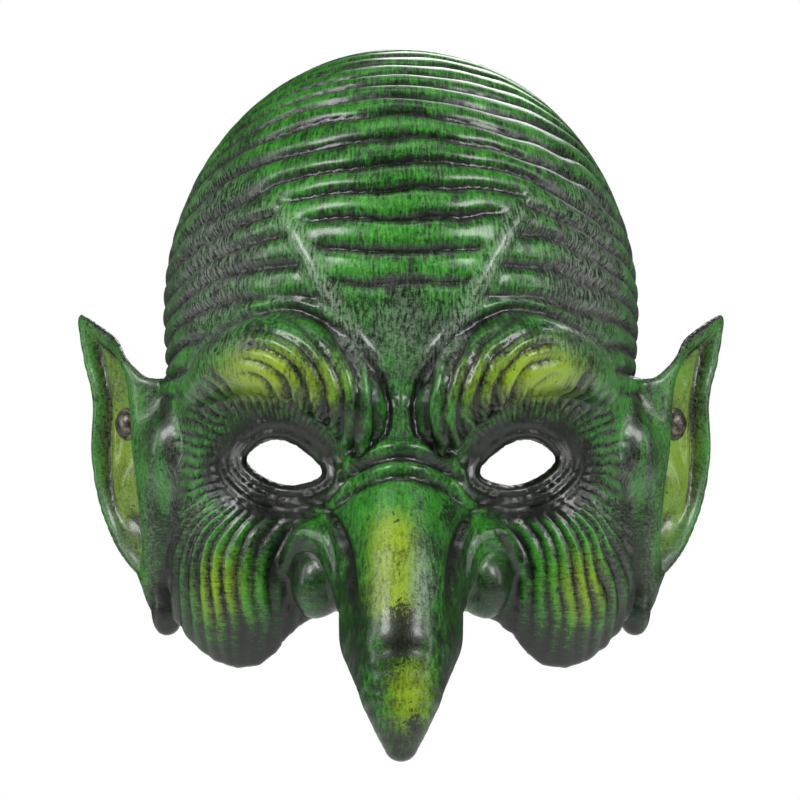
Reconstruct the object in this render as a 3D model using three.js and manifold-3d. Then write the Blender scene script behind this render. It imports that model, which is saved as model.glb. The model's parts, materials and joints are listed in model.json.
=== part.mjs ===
// A moulded latex goblin half mask: one thin skin with the ears moulded on, and an elastic head
// strap riveted through both ear bowls, with a three-bar buckle and a keeper loop on its right run.
// Units are millimetres. +Z is up, the face looks along -Y and +X is the viewer's right.
// The origin is midway between the two rivets. The strap swings about a line across, just behind them.
import * as THREE from "three";
import { mergeVertices } from "three/addons/utils/BufferGeometryUtils.js";
import Module from "manifold-3d";

const WALL = 3; // latex skin
const INNER_SHARE = 0.7; // the hidden inner faces are divided this much as finely
const GAP = 0.3; // clearance between pieces that touch
const SIDES = [
  { name: "left", sign: -1 },
  { name: "right", sign: 1 },
];

// The head's big rounded masses: centre, radii, and how finely each sphere is divided.
const CRANIUM = { at: [0, 0, 36], radii: [77.5, 95, 86.5], fine: [32, 20] };
const MIDFACE = { at: [0, 0, -8], radii: [73, 84, 72], fine: [28, 16] };
const CHEEK = { at: [45, -40, -44], radii: [29.5, 36, 44], fine: [20, 14] };
const MUZZLE = { at: [0, -70, -32], radii: [28, 38, 30], fine: [18, 12] };
const TRAGUS = { at: [73, -14, -10], radii: [11, 13, 15], fine: [12, 8] };
const NOSTRIL = { at: [22, -82, -46], radii: [10.5, 13, 11], fine: [12, 8] };
const EYE_SOCKET = { at: [38, -98, -12], radii: [22, 22, 12], fine: [14, 10] };

// Rounded rolls swept along a spine, each spine point with its radius.
const NOSE = {
  spine: [[0, -84, 6], [0, -96, -18], [0, -112, -42], [0, -124, -66], [0, -129, -84], [0, -128, -97.5]],
  radius: [9, 12, 15, 17.5, 12, 5],
  fine: [16, 16],
};
const BROW = {
  spine: [[60, -52, 2], [56, -70, 16], [43, -83, 25], [28, -91, 21], [16, -94, 9], [12, -92, -3]],
  radius: [8, 11, 13, 13, 11, 8],
  fine: [12, 14],
};

const EYE_HOLE = {
  from: -120, to: -40,
  outer: [48, -9], inner: [23.5, -14], top: [37, 3.5], low: [37, -24],
};

// The back trim, seen from the side as (y, z): all that lies behind it is cut away.
const BACK_EDGE = [[10, 140], [10, 60], [5, 18], [-6, 2], [-8, -38], [-16, -56], [-40, -74], [-60, -90]];
// The lower trim, seen from the front as (x, z): it arches up between each cheek and the nose.
const LOWER_EDGE = [
  [0, -57], [22, -58], [29, -60.5], [34.5, -64.5], [39, -70.5], [44, -74.5],
  [51, -75.5], [58, -73.5], [64.5, -69], [71, -62], [84, -52],
];
const LOWER_EDGE_FRONT = -86; // the nose hangs free in front of this plane

// The ear is a dished leaf in its own plane: v runs outwards and back, u runs up, w is its normal.
const EAR_TURN = THREE.MathUtils.degToRad(45); // the leaf's plane, turned from the sagittal plane
const EAR_CENTRE = [1, -3];
const EAR_OUTLINE = [
  [-15, 17], [-5, 24.5], [6, 31], [19, 36.5], [17.5, 21], [13, 8], [13.5, -10],
  [10, -25], [3, -37], [-11, -50], [-15, -60], [-21, -67], [-25, -60], [-22, -40], [-21, -10],
];
const EAR_DISH = 5; // how far the rim stands proud of the bowl
const EAR_SHAPE = { around: 30, rings: 12, bowl: 0.5 };
const EAR_PLATE = 3.2;

const RIVET_X = 89;
const RIVET = { cap: 5.3, dome: 2.9, lip: 0.6, post: 1.5, base: 5, baseThick: 1.4, hole: 1.9 };
const WASHER = { radius: 6.5, thick: 0.8 };

const BAND = { thick: 1.6, width: 16 };
const STRAP_TILT = THREE.MathUtils.degToRad(3.5); // the loop rises towards the back of the head
// Where the straight run on the right begins, clear of the clamped end as the loop swings.
const RUN_START = [91.6, 19];
const RUN_TURN = THREE.MathUtils.degToRad(6); // how far the run leans inwards
const LAYER = 1; // half the distance between the two layers of a doubled strap
const BUCKLE = { first: 9, pitch: 7, bar: 1.2, inner: 18, rail: 2 };
const KEEPER = { at: 42, length: 6, wall: 1.2 };
const TAIL_END = 54;
const LOOP_BACK = 105; // the furthest point of the loop behind the rivets
const LOOP_LEAD = 26; // how far past the tail the loop keeps the run's direction before it turns
const CLAMPED = [-7.5, 8]; // the clamped end, in front of the rivet and behind it

const WEDGE = 140; // how far the trimming wedges reach past the mask
const BORE_LENGTH = 20;
const ROUND = 28; // facets round a turned piece

const LATEX = new THREE.MeshStandardMaterial({ color: 0x2f7d2a, roughness: 0.35, metalness: 0 });
const STEEL = new THREE.MeshStandardMaterial({ color: 0x6b645c, roughness: 0.3, metalness: 0.9 });
const ELASTIC = new THREE.MeshStandardMaterial({ color: 0x151515, roughness: 0.9, metalness: 0 });
const PLASTIC = new THREE.MeshStandardMaterial({ color: 0x101010, roughness: 0.45, metalness: 0 });

const wasm = await Module();
wasm.setup();

/** A closed three.js geometry as a manifold-3d solid. */
function toSolid(geometry) {
  const bare = geometry.index ? geometry.toNonIndexed() : geometry.clone();
  const positions = new THREE.BufferGeometry().setAttribute("position", bare.getAttribute("position"));
  const merged = mergeVertices(positions, 1e-3);
  return new wasm.Manifold(
    new wasm.Mesh({
      numProp: 3,
      vertProperties: merged.attributes.position.array,
      triVerts: new Uint32Array(merged.index.array),
    }),
  );
}

/** A manifold-3d solid back as a three.js geometry. */
function toGeometry(solid) {
  const mesh = solid.getMesh();
  const positions = new Float32Array(mesh.numVert * 3);
  for (let i = 0; i < mesh.numVert; i++) {
    positions.set(mesh.vertProperties.subarray(i * mesh.numProp, i * mesh.numProp + 3), i * 3);
  }
  const geometry = new THREE.BufferGeometry();
  geometry.setAttribute("position", new THREE.BufferAttribute(positions, 3));
  geometry.setIndex(new THREE.BufferAttribute(mesh.triVerts, 1));
  geometry.computeVertexNormals();
  return geometry;
}

function named(name, geometry, material) {
  const mesh = new THREE.Mesh(geometry, material);
  mesh.name = name;
  return mesh;
}

/** How finely a sphere is divided: a little coarser where the form is shrunk to make the hollow. */
function divisions(fine, grow) {
  return fine.map((n) => (grow < 0 ? 2 * Math.round((n * INNER_SHARE) / 2) : n));
}

/** An ellipsoid on one side of the face; grow makes it larger, or smaller where negative. */
function mass({ at, radii, fine }, sign = 1, grow = 0) {
  const geometry = new THREE.SphereGeometry(1, ...divisions(fine, grow));
  geometry.scale(...radii.map((r) => r + grow));
  geometry.translate(at[0] * sign, at[1], at[2]);
  return toSolid(geometry);
}

/** A round roll along a spine, closed by rounded ends: a sphere whose rings are laid along the curve. */
function roll({ spine, radius, fine }, sign = 1, grow = 0) {
  const curve = new THREE.CatmullRomCurve3(spine.map((point) => new THREE.Vector3(...point)));
  const geometry = new THREE.SphereGeometry(1, ...divisions(fine, grow));
  const position = geometry.getAttribute("position");
  const inset = -grow / curve.getLength(); // the ends draw in as far as the sides do
  const point = new THREE.Vector3();
  for (let i = 0; i < position.count; i++) {
    point.fromBufferAttribute(position, i);
    const along = Math.acos(THREE.MathUtils.clamp(point.y, -1, 1)) / Math.PI;
    const t = THREE.MathUtils.lerp(inset, 1 - inset, along);
    const tangent = curve.getTangent(t);
    const across = new THREE.Vector3(1, 0, 0);
    across.addScaledVector(tangent, -across.dot(tangent)).normalize();
    const outward = new THREE.Vector3().crossVectors(tangent, across);
    const place = t * (radius.length - 1);
    const step = Math.min(Math.floor(place), radius.length - 2);
    const size = THREE.MathUtils.lerp(radius[step], radius[step + 1], place - step) + grow;
    const cap = Math.sqrt(1 - Math.abs(2 * along - 1) ** 6);
    const ring = Math.hypot(point.x, point.z) || 1;
    const centre = curve.getPoint(t);
    centre.addScaledVector(across, (point.x / ring) * size * cap);
    centre.addScaledVector(outward, (point.z / ring) * size * cap);
    position.setXYZ(i, centre.x, centre.y, centre.z);
  }
  if (sign < 0) mirror(geometry);
  return toSolid(geometry);
}

/** The whole head as one solid, grown or shrunk all over. */
function head(grow) {
  let solid = roll(NOSE, 1, grow);
  for (const form of [CRANIUM, MIDFACE, MUZZLE]) solid = solid.add(mass(form, 1, grow));
  for (const { sign } of SIDES) {
    for (const form of [CHEEK, TRAGUS, NOSTRIL]) solid = solid.add(mass(form, sign, grow));
    solid = solid.add(roll(BROW, sign, grow));
  }
  for (const { sign } of SIDES) solid = solid.subtract(mass(EYE_SOCKET, sign, -grow));
  return solid;
}

/** A flat shape through the given corners, extruded by depth along its own +Z. */
function slab(corners, depth) {
  const shape = new THREE.Shape(corners.map(([a, b]) => new THREE.Vector2(a, b)));
  return new THREE.ExtrudeGeometry(shape, { depth, bevelEnabled: false, curveSegments: 8 });
}

/** What the back trim removes: the space behind BACK_EDGE, all the way across. */
function behindTheMask() {
  const across = 260;
  const corners = [...BACK_EDGE, [120, -90], [120, WEDGE]];
  const geometry = slab(corners, across);
  geometry.rotateX(Math.PI / 2).rotateZ(Math.PI / 2); // the shape's own axes become Y and Z
  geometry.translate(-across / 2, 0, 0);
  return toSolid(geometry);
}

/** What the lower trim removes: the space under LOWER_EDGE, behind the hanging nose. */
function underTheCheeks() {
  const left = LOWER_EDGE.slice(1).reverse().map(([x, z]) => [-x, z]);
  const corners = [[-84, -WEDGE], [84, -WEDGE], ...LOWER_EDGE.slice().reverse(), ...left.slice().reverse()];
  const geometry = slab(corners, WEDGE);
  geometry.rotateX(Math.PI / 2); // the slab now runs along -Y
  geometry.translate(0, LOWER_EDGE_FRONT + WEDGE, 0);
  return toSolid(geometry);
}

/** One almond-shaped eye hole as a solid that runs through the skin. */
function eyeHole(sign) {
  const { outer, inner, top, low } = EYE_HOLE;
  const shape = new THREE.Shape();
  shape.moveTo(outer[0] * sign, outer[1]);
  shape.quadraticCurveTo(top[0] * sign, top[1], inner[0] * sign, inner[1]);
  shape.quadraticCurveTo(low[0] * sign, low[1], outer[0] * sign, outer[1]);
  const depth = EYE_HOLE.to - EYE_HOLE.from;
  const geometry = new THREE.ExtrudeGeometry(shape, { depth, bevelEnabled: false, curveSegments: 10 });
  geometry.rotateX(Math.PI / 2);
  geometry.translate(0, EYE_HOLE.to, 0);
  return toSolid(geometry);
}

/** Turns a geometry made in the ear's (v, w, u) axes, or the rivet's, into its place at one side. */
function placeAtEar(geometry, sign) {
  geometry.rotateZ(-EAR_TURN);
  geometry.translate(RIVET_X, 0, 0);
  if (sign < 0) mirror(geometry);
  return geometry;
}

/** Mirrors a geometry across X and turns its faces back outwards. */
function mirror(geometry) {
  const flat = geometry.index ? geometry.toNonIndexed() : geometry.clone();
  const position = flat.getAttribute("position");
  for (let i = 0; i < position.count; i += 3) {
    const corners = [0, 1, 2].map((k) => new THREE.Vector3().fromBufferAttribute(position, i + k));
    [corners[0], corners[2], corners[1]].forEach((c, k) => position.setXYZ(i + k, -c.x, c.y, c.z));
  }
  geometry.copy(flat);
}

/** The ear: a sphere pressed into a leaf-shaped dish of even thickness. */
function ear(sign) {
  const outline = new THREE.CatmullRomCurve3(
    EAR_OUTLINE.map(([v, u]) => new THREE.Vector3(v, u, 0)), true, "centripetal");
  const rim = outline.getSpacedPoints(EAR_SHAPE.around * 4);
  const reach = (angle) => {
    const turned = (p) => Math.atan2(p.y - EAR_CENTRE[1], p.x - EAR_CENTRE[0]);
    const miss = (p) => Math.abs(Math.atan2(Math.sin(turned(p) - angle), Math.cos(turned(p) - angle)));
    const near = rim.reduce((best, p) => (miss(p) < miss(best) ? p : best));
    return Math.hypot(near.x - EAR_CENTRE[0], near.y - EAR_CENTRE[1]);
  };
  const geometry = new THREE.SphereGeometry(1, EAR_SHAPE.around, EAR_SHAPE.rings);
  const position = geometry.getAttribute("position");
  for (let i = 0; i < position.count; i++) {
    const [x, y, z] = [position.getX(i), position.getY(i), position.getZ(i)];
    const angle = Math.atan2(-z, x);
    const polar = Math.acos(THREE.MathUtils.clamp(y, -1, 1)) / Math.PI; // 0 at the front, 1 at the back
    const share = 1 - Math.abs(2 * polar - 1); // 0 in the middle, 1 at the rim
    const r = reach(angle) * Math.min(share * 1.06, 1);
    const lift = Math.max(share - EAR_SHAPE.bowl, 0) / (1 - EAR_SHAPE.bowl);
    const thick = (EAR_PLATE / 2) * Math.sqrt(1 - share ** 8);
    const w = EAR_DISH * lift * lift + thick * (polar < 0.5 ? 1 : -1);
    position.setXYZ(i, w, EAR_CENTRE[0] + r * Math.cos(angle), EAR_CENTRE[1] + r * Math.sin(angle));
  }
  return toSolid(placeAtEar(geometry, sign));
}

/** A turned profile, given as (radius, w) pairs, about the rivet's axis. */
function turned(profile, sign) {
  const geometry = new THREE.LatheGeometry(profile.map(([r, w]) => new THREE.Vector2(r, w)), ROUND);
  geometry.rotateZ(-Math.PI / 2); // the lathe's axis becomes +X, the ear's normal
  return placeAtEar(geometry, sign);
}

/** The hole that a rivet's post passes through, as a solid to take away. */
function rivetBore(sign) {
  const geometry = new THREE.CylinderGeometry(RIVET.hole, RIVET.hole, BORE_LENGTH, 20);
  return toSolid(placeAtEar(geometry.rotateZ(Math.PI / 2), sign));
}

/** The moulded skin: face, dome, nose and both ears in one piece. */
function maskShell() {
  const hollow = head(-WALL);
  let skin = head(0).subtract(hollow).subtract(behindTheMask()).subtract(underTheCheeks());
  for (const { sign } of SIDES) {
    skin = skin.add(ear(sign).subtract(hollow)).subtract(eyeHole(sign));
    skin = skin.subtract(rivetBore(sign));
  }
  return named("mask_shell", toGeometry(skin), LATEX);
}

const FRONT_FACE = EAR_PLATE / 2 + GAP; // where the rivet's cap sits on the bowl
const BACK_FACE = -FRONT_FACE; // where the strap lies on the back of the bowl
const WASHER_FACE = BACK_FACE - BAND.thick - GAP;
const BASE_FACE = WASHER_FACE - WASHER.thick - GAP;

/** The domed cap with its post, seen in the bowl of the ear. */
function rivetCap({ name, sign }) {
  const end = BASE_FACE - RIVET.baseThick;
  const dome = Array.from({ length: 7 }, (_, i) => {
    const angle = (i / 6) * (Math.PI / 2);
    return [RIVET.cap * Math.cos(angle), FRONT_FACE + RIVET.lip + RIVET.dome * Math.sin(angle)];
  });
  dome[dome.length - 1][0] = 0;
  const profile = [[0, end], [RIVET.post, end], [RIVET.post, FRONT_FACE], [RIVET.cap, FRONT_FACE], ...dome];
  return named(`${name}_rivet_cap`, turned(profile, sign), STEEL);
}

/** A flat ring about the rivet's post, from face down to face less thick. */
function ring(face, thick, radius, sign) {
  const low = face - thick;
  const profile = [[RIVET.hole, low], [radius, low], [radius, face], [RIVET.hole, face], [RIVET.hole, low]];
  return turned(profile, sign);
}

/** Where a point of the strap's plan lies: along the right run, and out from its middle line. */
function onRun(along, out) {
  const [x, y] = RUN_START;
  const [s, c] = [Math.sin(RUN_TURN), Math.cos(RUN_TURN)];
  return new THREE.Vector2(x - along * s + out * c, y + along * c + out * s);
}

/** A flat band whose middle line, seen from above, follows the given points. */
function band(points) {
  const half = BAND.thick / 2;
  const edges = [1, -1].map((side) =>
    points.map((p, i) => {
      const before = points[Math.max(i - 1, 0)];
      const after = points[Math.min(i + 1, points.length - 1)];
      const along = after.clone().sub(before).normalize();
      return new THREE.Vector2(p.x + along.y * half * side, p.y - along.x * half * side);
    }),
  );
  const shape = new THREE.Shape([...edges[0], ...edges[1].reverse()]);
  const geometry = new THREE.ExtrudeGeometry(shape, { depth: BAND.width, bevelEnabled: false });
  return geometry.translate(0, 0, -BAND.width / 2);
}

/** The half turn that a band takes round a buckle bar; towards is +1 when it opens along the run. */
function turnRoundBar(bar, towards) {
  const radius = BUCKLE.bar + GAP + BAND.thick / 2;
  return Array.from({ length: 9 }, (_, i) => {
    const angle = -Math.PI / 2 + (i / 8) * Math.PI;
    return onRun(bar - towards * radius * Math.cos(angle), radius * Math.sin(angle));
  });
}

/** The short tab on the right: from the flexing stretch, round the buckle's first bar and back. */
function strapTab() {
  const bar = BUCKLE.first;
  const inwards = [onRun(0, -LAYER), onRun(3, -LAYER)];
  const points = [...inwards, ...turnRoundBar(bar, -1), onRun(3.5, LAYER), onRun(1, LAYER)];
  return named("strap_tab", band(points), ELASTIC);
}

/** The long band: the tail, the turn round the middle bar, the right run, the back and the left run. */
function strapBand() {
  const bar = BUCKLE.first + BUCKLE.pitch;
  const apart = BUCKLE.bar + GAP + BAND.thick / 2; // the layers pass either side of the last bar
  const past = bar + BUCKLE.pitch + 2 * BUCKLE.bar;
  const clear = past + 5; // from here on the two layers lie together
  const turn = turnRoundBar(bar, 1).reverse();
  const tail = [onRun(TAIL_END, LAYER), onRun(clear, LAYER), onRun(past, apart)];
  const leave = [onRun(past, -apart), onRun(clear, -LAYER), onRun(TAIL_END, -LAYER)];
  const corner = onRun(TAIL_END, -LAYER);
  const handle = onRun(TAIL_END + LOOP_LEAD, -LAYER);
  const quarter = new THREE.CubicBezierCurve(
    corner, handle, new THREE.Vector2(corner.x * 0.55, LOOP_BACK), new THREE.Vector2(0, LOOP_BACK));
  const back = quarter.getSpacedPoints(16).slice(1);
  const flip = (p) => new THREE.Vector2(-p.x, p.y);
  const otherSide = [...leave, ...back.slice(0, -1)].reverse().map(flip);
  const leftRun = [flip(onRun(10, -LAYER)), flip(onRun(0, -LAYER))];
  const points = [...tail, ...turn, ...leave, ...back, ...otherSide, ...leftRun];
  return named("strap_band", band(points), ELASTIC);
}

/** A strap end clamped under its rivet, on the back of the ear's bowl. */
function strapEnd({ name, sign }) {
  const middle = BACK_FACE - BAND.thick / 2;
  const [from, to] = CLAMPED;
  const geometry = new THREE.BoxGeometry(BAND.thick, to - from, BAND.width);
  geometry.translate(middle, (from + to) / 2, 0);
  const solid = toSolid(placeAtEar(geometry, sign)).subtract(rivetBore(sign));
  return named(`${name}_strap_end`, toGeometry(solid), ELASTIC);
}

/** A box laid along the right run: its middle, its size along the run, out from it and up. */
function blockOnRun(along, out, size) {
  const geometry = new THREE.BoxGeometry(size[1], size[0], size[2]);
  const middle = onRun(along, out);
  geometry.rotateZ(RUN_TURN).translate(middle.x, middle.y, 0);
  return toSolid(geometry);
}

/** The three-bar buckle: two rails joined by three round bars. */
function strapBuckle() {
  const bars = [0, 1, 2].map((i) => BUCKLE.first + i * BUCKLE.pitch);
  const middle = bars[1];
  const length = 2 * (BUCKLE.pitch + BUCKLE.bar);
  const height = (BUCKLE.inner + BUCKLE.rail) / 2;
  let solid = null;
  for (const side of [1, -1]) {
    const size = [length, 2 * BUCKLE.bar, BUCKLE.rail];
    const rail = blockOnRun(middle, 0, size).translate([0, 0, side * height]);
    solid = solid ? solid.add(rail) : rail;
  }
  for (const along of bars) {
    const bar = new THREE.CylinderGeometry(BUCKLE.bar, BUCKLE.bar, 2 * height, 14).rotateX(Math.PI / 2);
    const place = onRun(along, 0);
    solid = solid.add(toSolid(bar.translate(place.x, place.y, 0)));
  }
  return named("strap_buckle", toGeometry(solid), PLASTIC);
}

/** The keeper: a flat loop that holds the tail against the strap and slides along both. */
function strapKeeper() {
  const inner = [2 * LAYER + BAND.thick + 2 * GAP, BAND.width + 2 * GAP];
  const outer = inner.map((d) => d + 2 * KEEPER.wall);
  const opening = blockOnRun(KEEPER.at, 0, [KEEPER.length * 2, ...inner]);
  const solid = blockOnRun(KEEPER.at, 0, [KEEPER.length, ...outer]).subtract(opening);
  return named("strap_keeper", toGeometry(solid), PLASTIC);
}

const mask = new THREE.Group();
mask.add(maskShell());
for (const side of SIDES) {
  mask.add(rivetCap(side));
  const washer = ring(WASHER_FACE, WASHER.thick, WASHER.radius, side.sign);
  mask.add(named(`${side.name}_rivet_washer`, washer, STEEL));
  const base = ring(BASE_FACE, RIVET.baseThick, RIVET.base, side.sign);
  mask.add(named(`${side.name}_rivet_base`, base, STEEL));
  mask.add(strapEnd(side));
}

const loop = new THREE.Group();
loop.rotation.x = STRAP_TILT;
loop.add(strapTab(), strapBuckle(), strapBand(), strapKeeper());
mask.add(loop);

export default mask;
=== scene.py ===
"""A moulded latex goblin half mask with a riveted elastic head strap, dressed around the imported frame."""

import json
import logging
import math
from collections.abc import Callable
from dataclasses import dataclass, field
from enum import Enum

import bpy
import numpy as np
from mathutils import Matrix, Vector

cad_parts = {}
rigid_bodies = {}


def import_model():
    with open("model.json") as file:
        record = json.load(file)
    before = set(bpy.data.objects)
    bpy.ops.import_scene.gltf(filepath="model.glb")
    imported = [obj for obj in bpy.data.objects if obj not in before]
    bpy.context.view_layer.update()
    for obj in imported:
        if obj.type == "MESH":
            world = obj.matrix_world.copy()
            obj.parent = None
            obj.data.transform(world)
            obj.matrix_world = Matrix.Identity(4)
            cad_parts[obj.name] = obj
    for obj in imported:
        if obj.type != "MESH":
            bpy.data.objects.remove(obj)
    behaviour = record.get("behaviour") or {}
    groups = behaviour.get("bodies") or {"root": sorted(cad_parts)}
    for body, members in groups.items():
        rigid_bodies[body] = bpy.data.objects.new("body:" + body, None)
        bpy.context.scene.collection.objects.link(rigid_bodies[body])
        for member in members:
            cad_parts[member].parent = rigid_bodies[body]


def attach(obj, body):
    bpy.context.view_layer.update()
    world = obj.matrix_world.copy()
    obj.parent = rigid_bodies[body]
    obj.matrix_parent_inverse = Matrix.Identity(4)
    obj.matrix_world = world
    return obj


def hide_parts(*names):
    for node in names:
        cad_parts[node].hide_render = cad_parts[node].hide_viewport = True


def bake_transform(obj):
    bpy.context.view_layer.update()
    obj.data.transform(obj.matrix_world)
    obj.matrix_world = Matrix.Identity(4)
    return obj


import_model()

logging.basicConfig(level=logging.INFO, format="%(message)s")
log = logging.getLogger("goblin_mask")

MM = 0.001
Array = np.ndarray


# ---------------------------------------------------------------- small helpers for modelling

def deselect() -> None:
    """Deselects everything, the frame's own nodes among it."""
    for obj in bpy.context.view_layer.objects:
        obj.select_set(False)


def select(obj: bpy.types.Object) -> None:
    """Makes one object the only selected one, and the active one."""
    deselect()
    obj.select_set(True)
    bpy.context.view_layer.objects.active = obj


def coordinates(obj: bpy.types.Object) -> Array:
    """Returns a mesh object's vertices, n by 3."""
    flat = np.empty(len(obj.data.vertices) * 3, np.float32)
    obj.data.vertices.foreach_get("co", flat)
    return flat.reshape(-1, 3)


def store(mesh: bpy.types.Mesh, name: str, values: Array) -> None:
    """Stores one number for each vertex as a named attribute."""
    attribute = mesh.attributes.new(name, "FLOAT", "POINT")
    attribute.data.foreach_set("value", np.ascontiguousarray(values, np.float32))


def smooth(obj: bpy.types.Object) -> None:
    """Shades a mesh smooth all over."""
    obj.data.polygons.foreach_set("use_smooth", [True] * len(obj.data.polygons))


def from_mesh(name: str, mesh: bpy.types.Mesh) -> bpy.types.Object:
    """Puts a mesh in the scene as an object of that name, and returns it."""
    obj = bpy.data.objects.new(name, mesh)
    bpy.context.collection.objects.link(obj)
    return obj


def joined(parts: list[bpy.types.Object], name: str) -> bpy.types.Object:
    """Joins meshes into one object.

    Args:
        parts: the objects to join; the first of them stays.
        name: the name of the result.

    Returns:
        The joined object.
    """
    deselect()
    for part in parts:
        part.select_set(True)
    bpy.context.view_layer.objects.active = parts[0]
    bpy.ops.object.join()
    obj = bpy.context.object
    obj.name = obj.data.name = name
    return obj


def face_outward(obj: bpy.types.Object, weld: float | None = None) -> None:
    """Turns all faces of a closed mesh outward.

    Args:
        obj: the mesh object.
        weld: if given, vertices nearer to each other than this are made one first.
    """
    select(obj)
    bpy.ops.object.mode_set(mode="EDIT")
    bpy.ops.mesh.select_all(action="SELECT")
    if weld is not None:
        bpy.ops.mesh.remove_doubles(threshold=weld)
    bpy.ops.mesh.normals_make_consistent(inside=False)
    bpy.ops.object.mode_set(mode="OBJECT")


def settle(obj: bpy.types.Object, place: Matrix) -> bpy.types.Object:
    """Puts an object modelled in mm in its place, and moves the place into its mesh.

    Args:
        obj: the object.
        place: where it goes, in mm.

    Returns:
        The same object.
    """
    obj.matrix_world = Matrix.Scale(MM, 4) @ place @ obj.matrix_world
    bpy.context.view_layer.update()
    select(obj)
    bpy.ops.object.transform_apply(location=True, rotation=True, scale=True)
    return obj


def keep_main_piece(obj: bpy.types.Object) -> None:
    """Deletes the specks of a mesh that aren't joined to its highest point.

    Args:
        obj: the mesh object.
    """
    select(obj)
    top = int(np.argmax(coordinates(obj)[:, 2]))
    bpy.ops.object.mode_set(mode="EDIT")
    bpy.ops.mesh.select_mode(type="VERT")
    bpy.ops.mesh.select_all(action="DESELECT")
    bpy.ops.object.mode_set(mode="OBJECT")
    obj.data.vertices[top].select = True
    bpy.ops.object.mode_set(mode="EDIT")
    bpy.ops.mesh.select_linked()
    bpy.ops.mesh.select_all(action="INVERT")
    bpy.ops.mesh.delete(type="VERT")
    bpy.ops.object.mode_set(mode="OBJECT")


# ---------------------------------------------------------------- soft shapes as distance fields

def smooth_min(a: Array, b: Array, k: float) -> Array:
    """Joins two distance fields with a fillet.

    Args:
        a: first field, in mm.
        b: second field, in mm.
        k: size of the fillet, in mm.

    Returns:
        The joined field.
    """
    h = np.maximum(k - np.abs(a - b), 0.0) / k
    return np.minimum(a, b) - h * h * k * 0.25


def smooth_max(a: Array, b: Array, k: float) -> Array:
    """Cuts one distance field by another, with a rounded edge of size k. Returns the cut field."""
    return -smooth_min(-a, -b, k)


def ramp(x: Array, low: float, high: float) -> Array:
    """Returns 0 below low, 1 above high and a smooth step between; low may be the larger."""
    t = np.clip((x - low) / (high - low), 0.0, 1.0)
    return t * t * (3.0 - 2.0 * t)


def bump(x: Array, width: float) -> Array:
    """Returns a bell curve of that half-width about zero."""
    return np.exp(-((x / width) ** 2))


def mirrored(p: Array) -> Array:
    """Returns the points folded onto the +X side."""
    return np.column_stack([np.abs(p[:, 0]), p[:, 1], p[:, 2]]).astype(p.dtype)


def ripple(p: Array, size: float, seed: float) -> Array:
    """A smooth, aperiodic-looking waviness made of a few turned sine waves.

    Args:
        p: points, n by 3, in mm.
        size: rough distance from crest to crest, in mm.
        seed: any number; it shifts the pattern.

    Returns:
        Values from about -1 to 1.
    """
    total = np.zeros(len(p), p.dtype)
    for i in range(4):
        turn = seed * 1.7 + i * 2.399
        way = np.array([math.cos(turn), math.sin(turn * 1.3), math.sin(turn)], p.dtype)
        total += np.sin(p @ way * (2 * math.pi / (size * (0.8 + 0.23 * i))) + seed * 5.1 + i)
    return total / 2.6


@dataclass(frozen=True)
class Mass:
    """One rounded mass: an ellipsoid, given by its centre and radii in mm."""

    at: tuple[float, float, float]
    radii: tuple[float, float, float]

    def distance(self, p: Array) -> Array:
        """Measures how far points lie from the ellipsoid, nearly exactly close to its surface.

        Args:
            p: points, n by 3, in mm.

        Returns:
            The signed distances.
        """
        q = p - np.array(self.at, p.dtype)
        r = np.array(self.radii, p.dtype)
        k0 = np.linalg.norm(q / r, axis=1)
        k1 = np.linalg.norm(q / (r * r), axis=1)
        return k0 * (k0 - 1.0) / np.maximum(k1, 1e-6)


def through(a: Array, b: Array, c: Array, d: Array, t: float) -> Array:
    """Returns the point at t, 0 to 1, between b and c on a smooth curve through the four points."""
    square = (2 * a - 5 * b + 4 * c - d) * t**2
    return 0.5 * (2 * b + (c - a) * t + square + (3 * b - a - 3 * c + d) * t**3)


@dataclass(frozen=True)
class Roll:
    """A round roll along a spine, with its own radius at each spine point, in mm."""

    spine: tuple[tuple[float, float, float], ...]
    radii: tuple[float, ...]
    steps: int = 4

    def path(self) -> tuple[Array, Array]:
        """Returns the spine resampled as a smooth curve, and the radius at each sample."""
        points = np.array(self.spine, np.float32)
        padded = np.vstack([2 * points[0] - points[1], points, 2 * points[-1] - points[-2]])
        radii = np.array(self.radii, np.float32)
        out, size = [], []
        for i in range(len(points) - 1):
            a, b, c, d = padded[i : i + 4]
            for s in range(self.steps):
                t = s / self.steps
                out.append(through(a, b, c, d, t))
                size.append(radii[i] * (1 - t) + radii[i + 1] * t)
        return np.array([*out, points[-1]], np.float32), np.array([*size, radii[-1]], np.float32)

    def distance(self, p: Array) -> Array:
        """Measures how far points lie from the roll.

        Args:
            p: points, n by 3, in mm.

        Returns:
            The signed distances.
        """
        path, size = self.path()
        best = np.full(len(p), 1e3, p.dtype)
        for a, b, ra, rb in zip(path[:-1], path[1:], size[:-1], size[1:]):
            way = b - a
            t = np.clip(((p - a) @ way) / float(way @ way), 0.0, 1.0)
            d = np.linalg.norm(p - a - t[:, None] * way, axis=1) - (ra + (rb - ra) * t)
            best = np.minimum(best, d)
        return best


def closed_curve(corners: tuple[tuple[float, float], ...], steps: int = 6) -> Array:
    """Draws a smooth closed curve through the corners.

    Args:
        corners: the corners, in order round the curve.
        steps: how many points each stretch between two corners gets.

    Returns:
        The curve's points, n by 2.
    """
    ring = np.array(corners, np.float32)
    out = []
    for i in range(len(ring)):
        a, b, c, d = (ring[(i + k) % len(ring)] for k in (-1, 0, 1, 2))
        out += [through(a, b, c, d, s / steps) for s in range(steps)]
    return np.array(out, np.float32)


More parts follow.
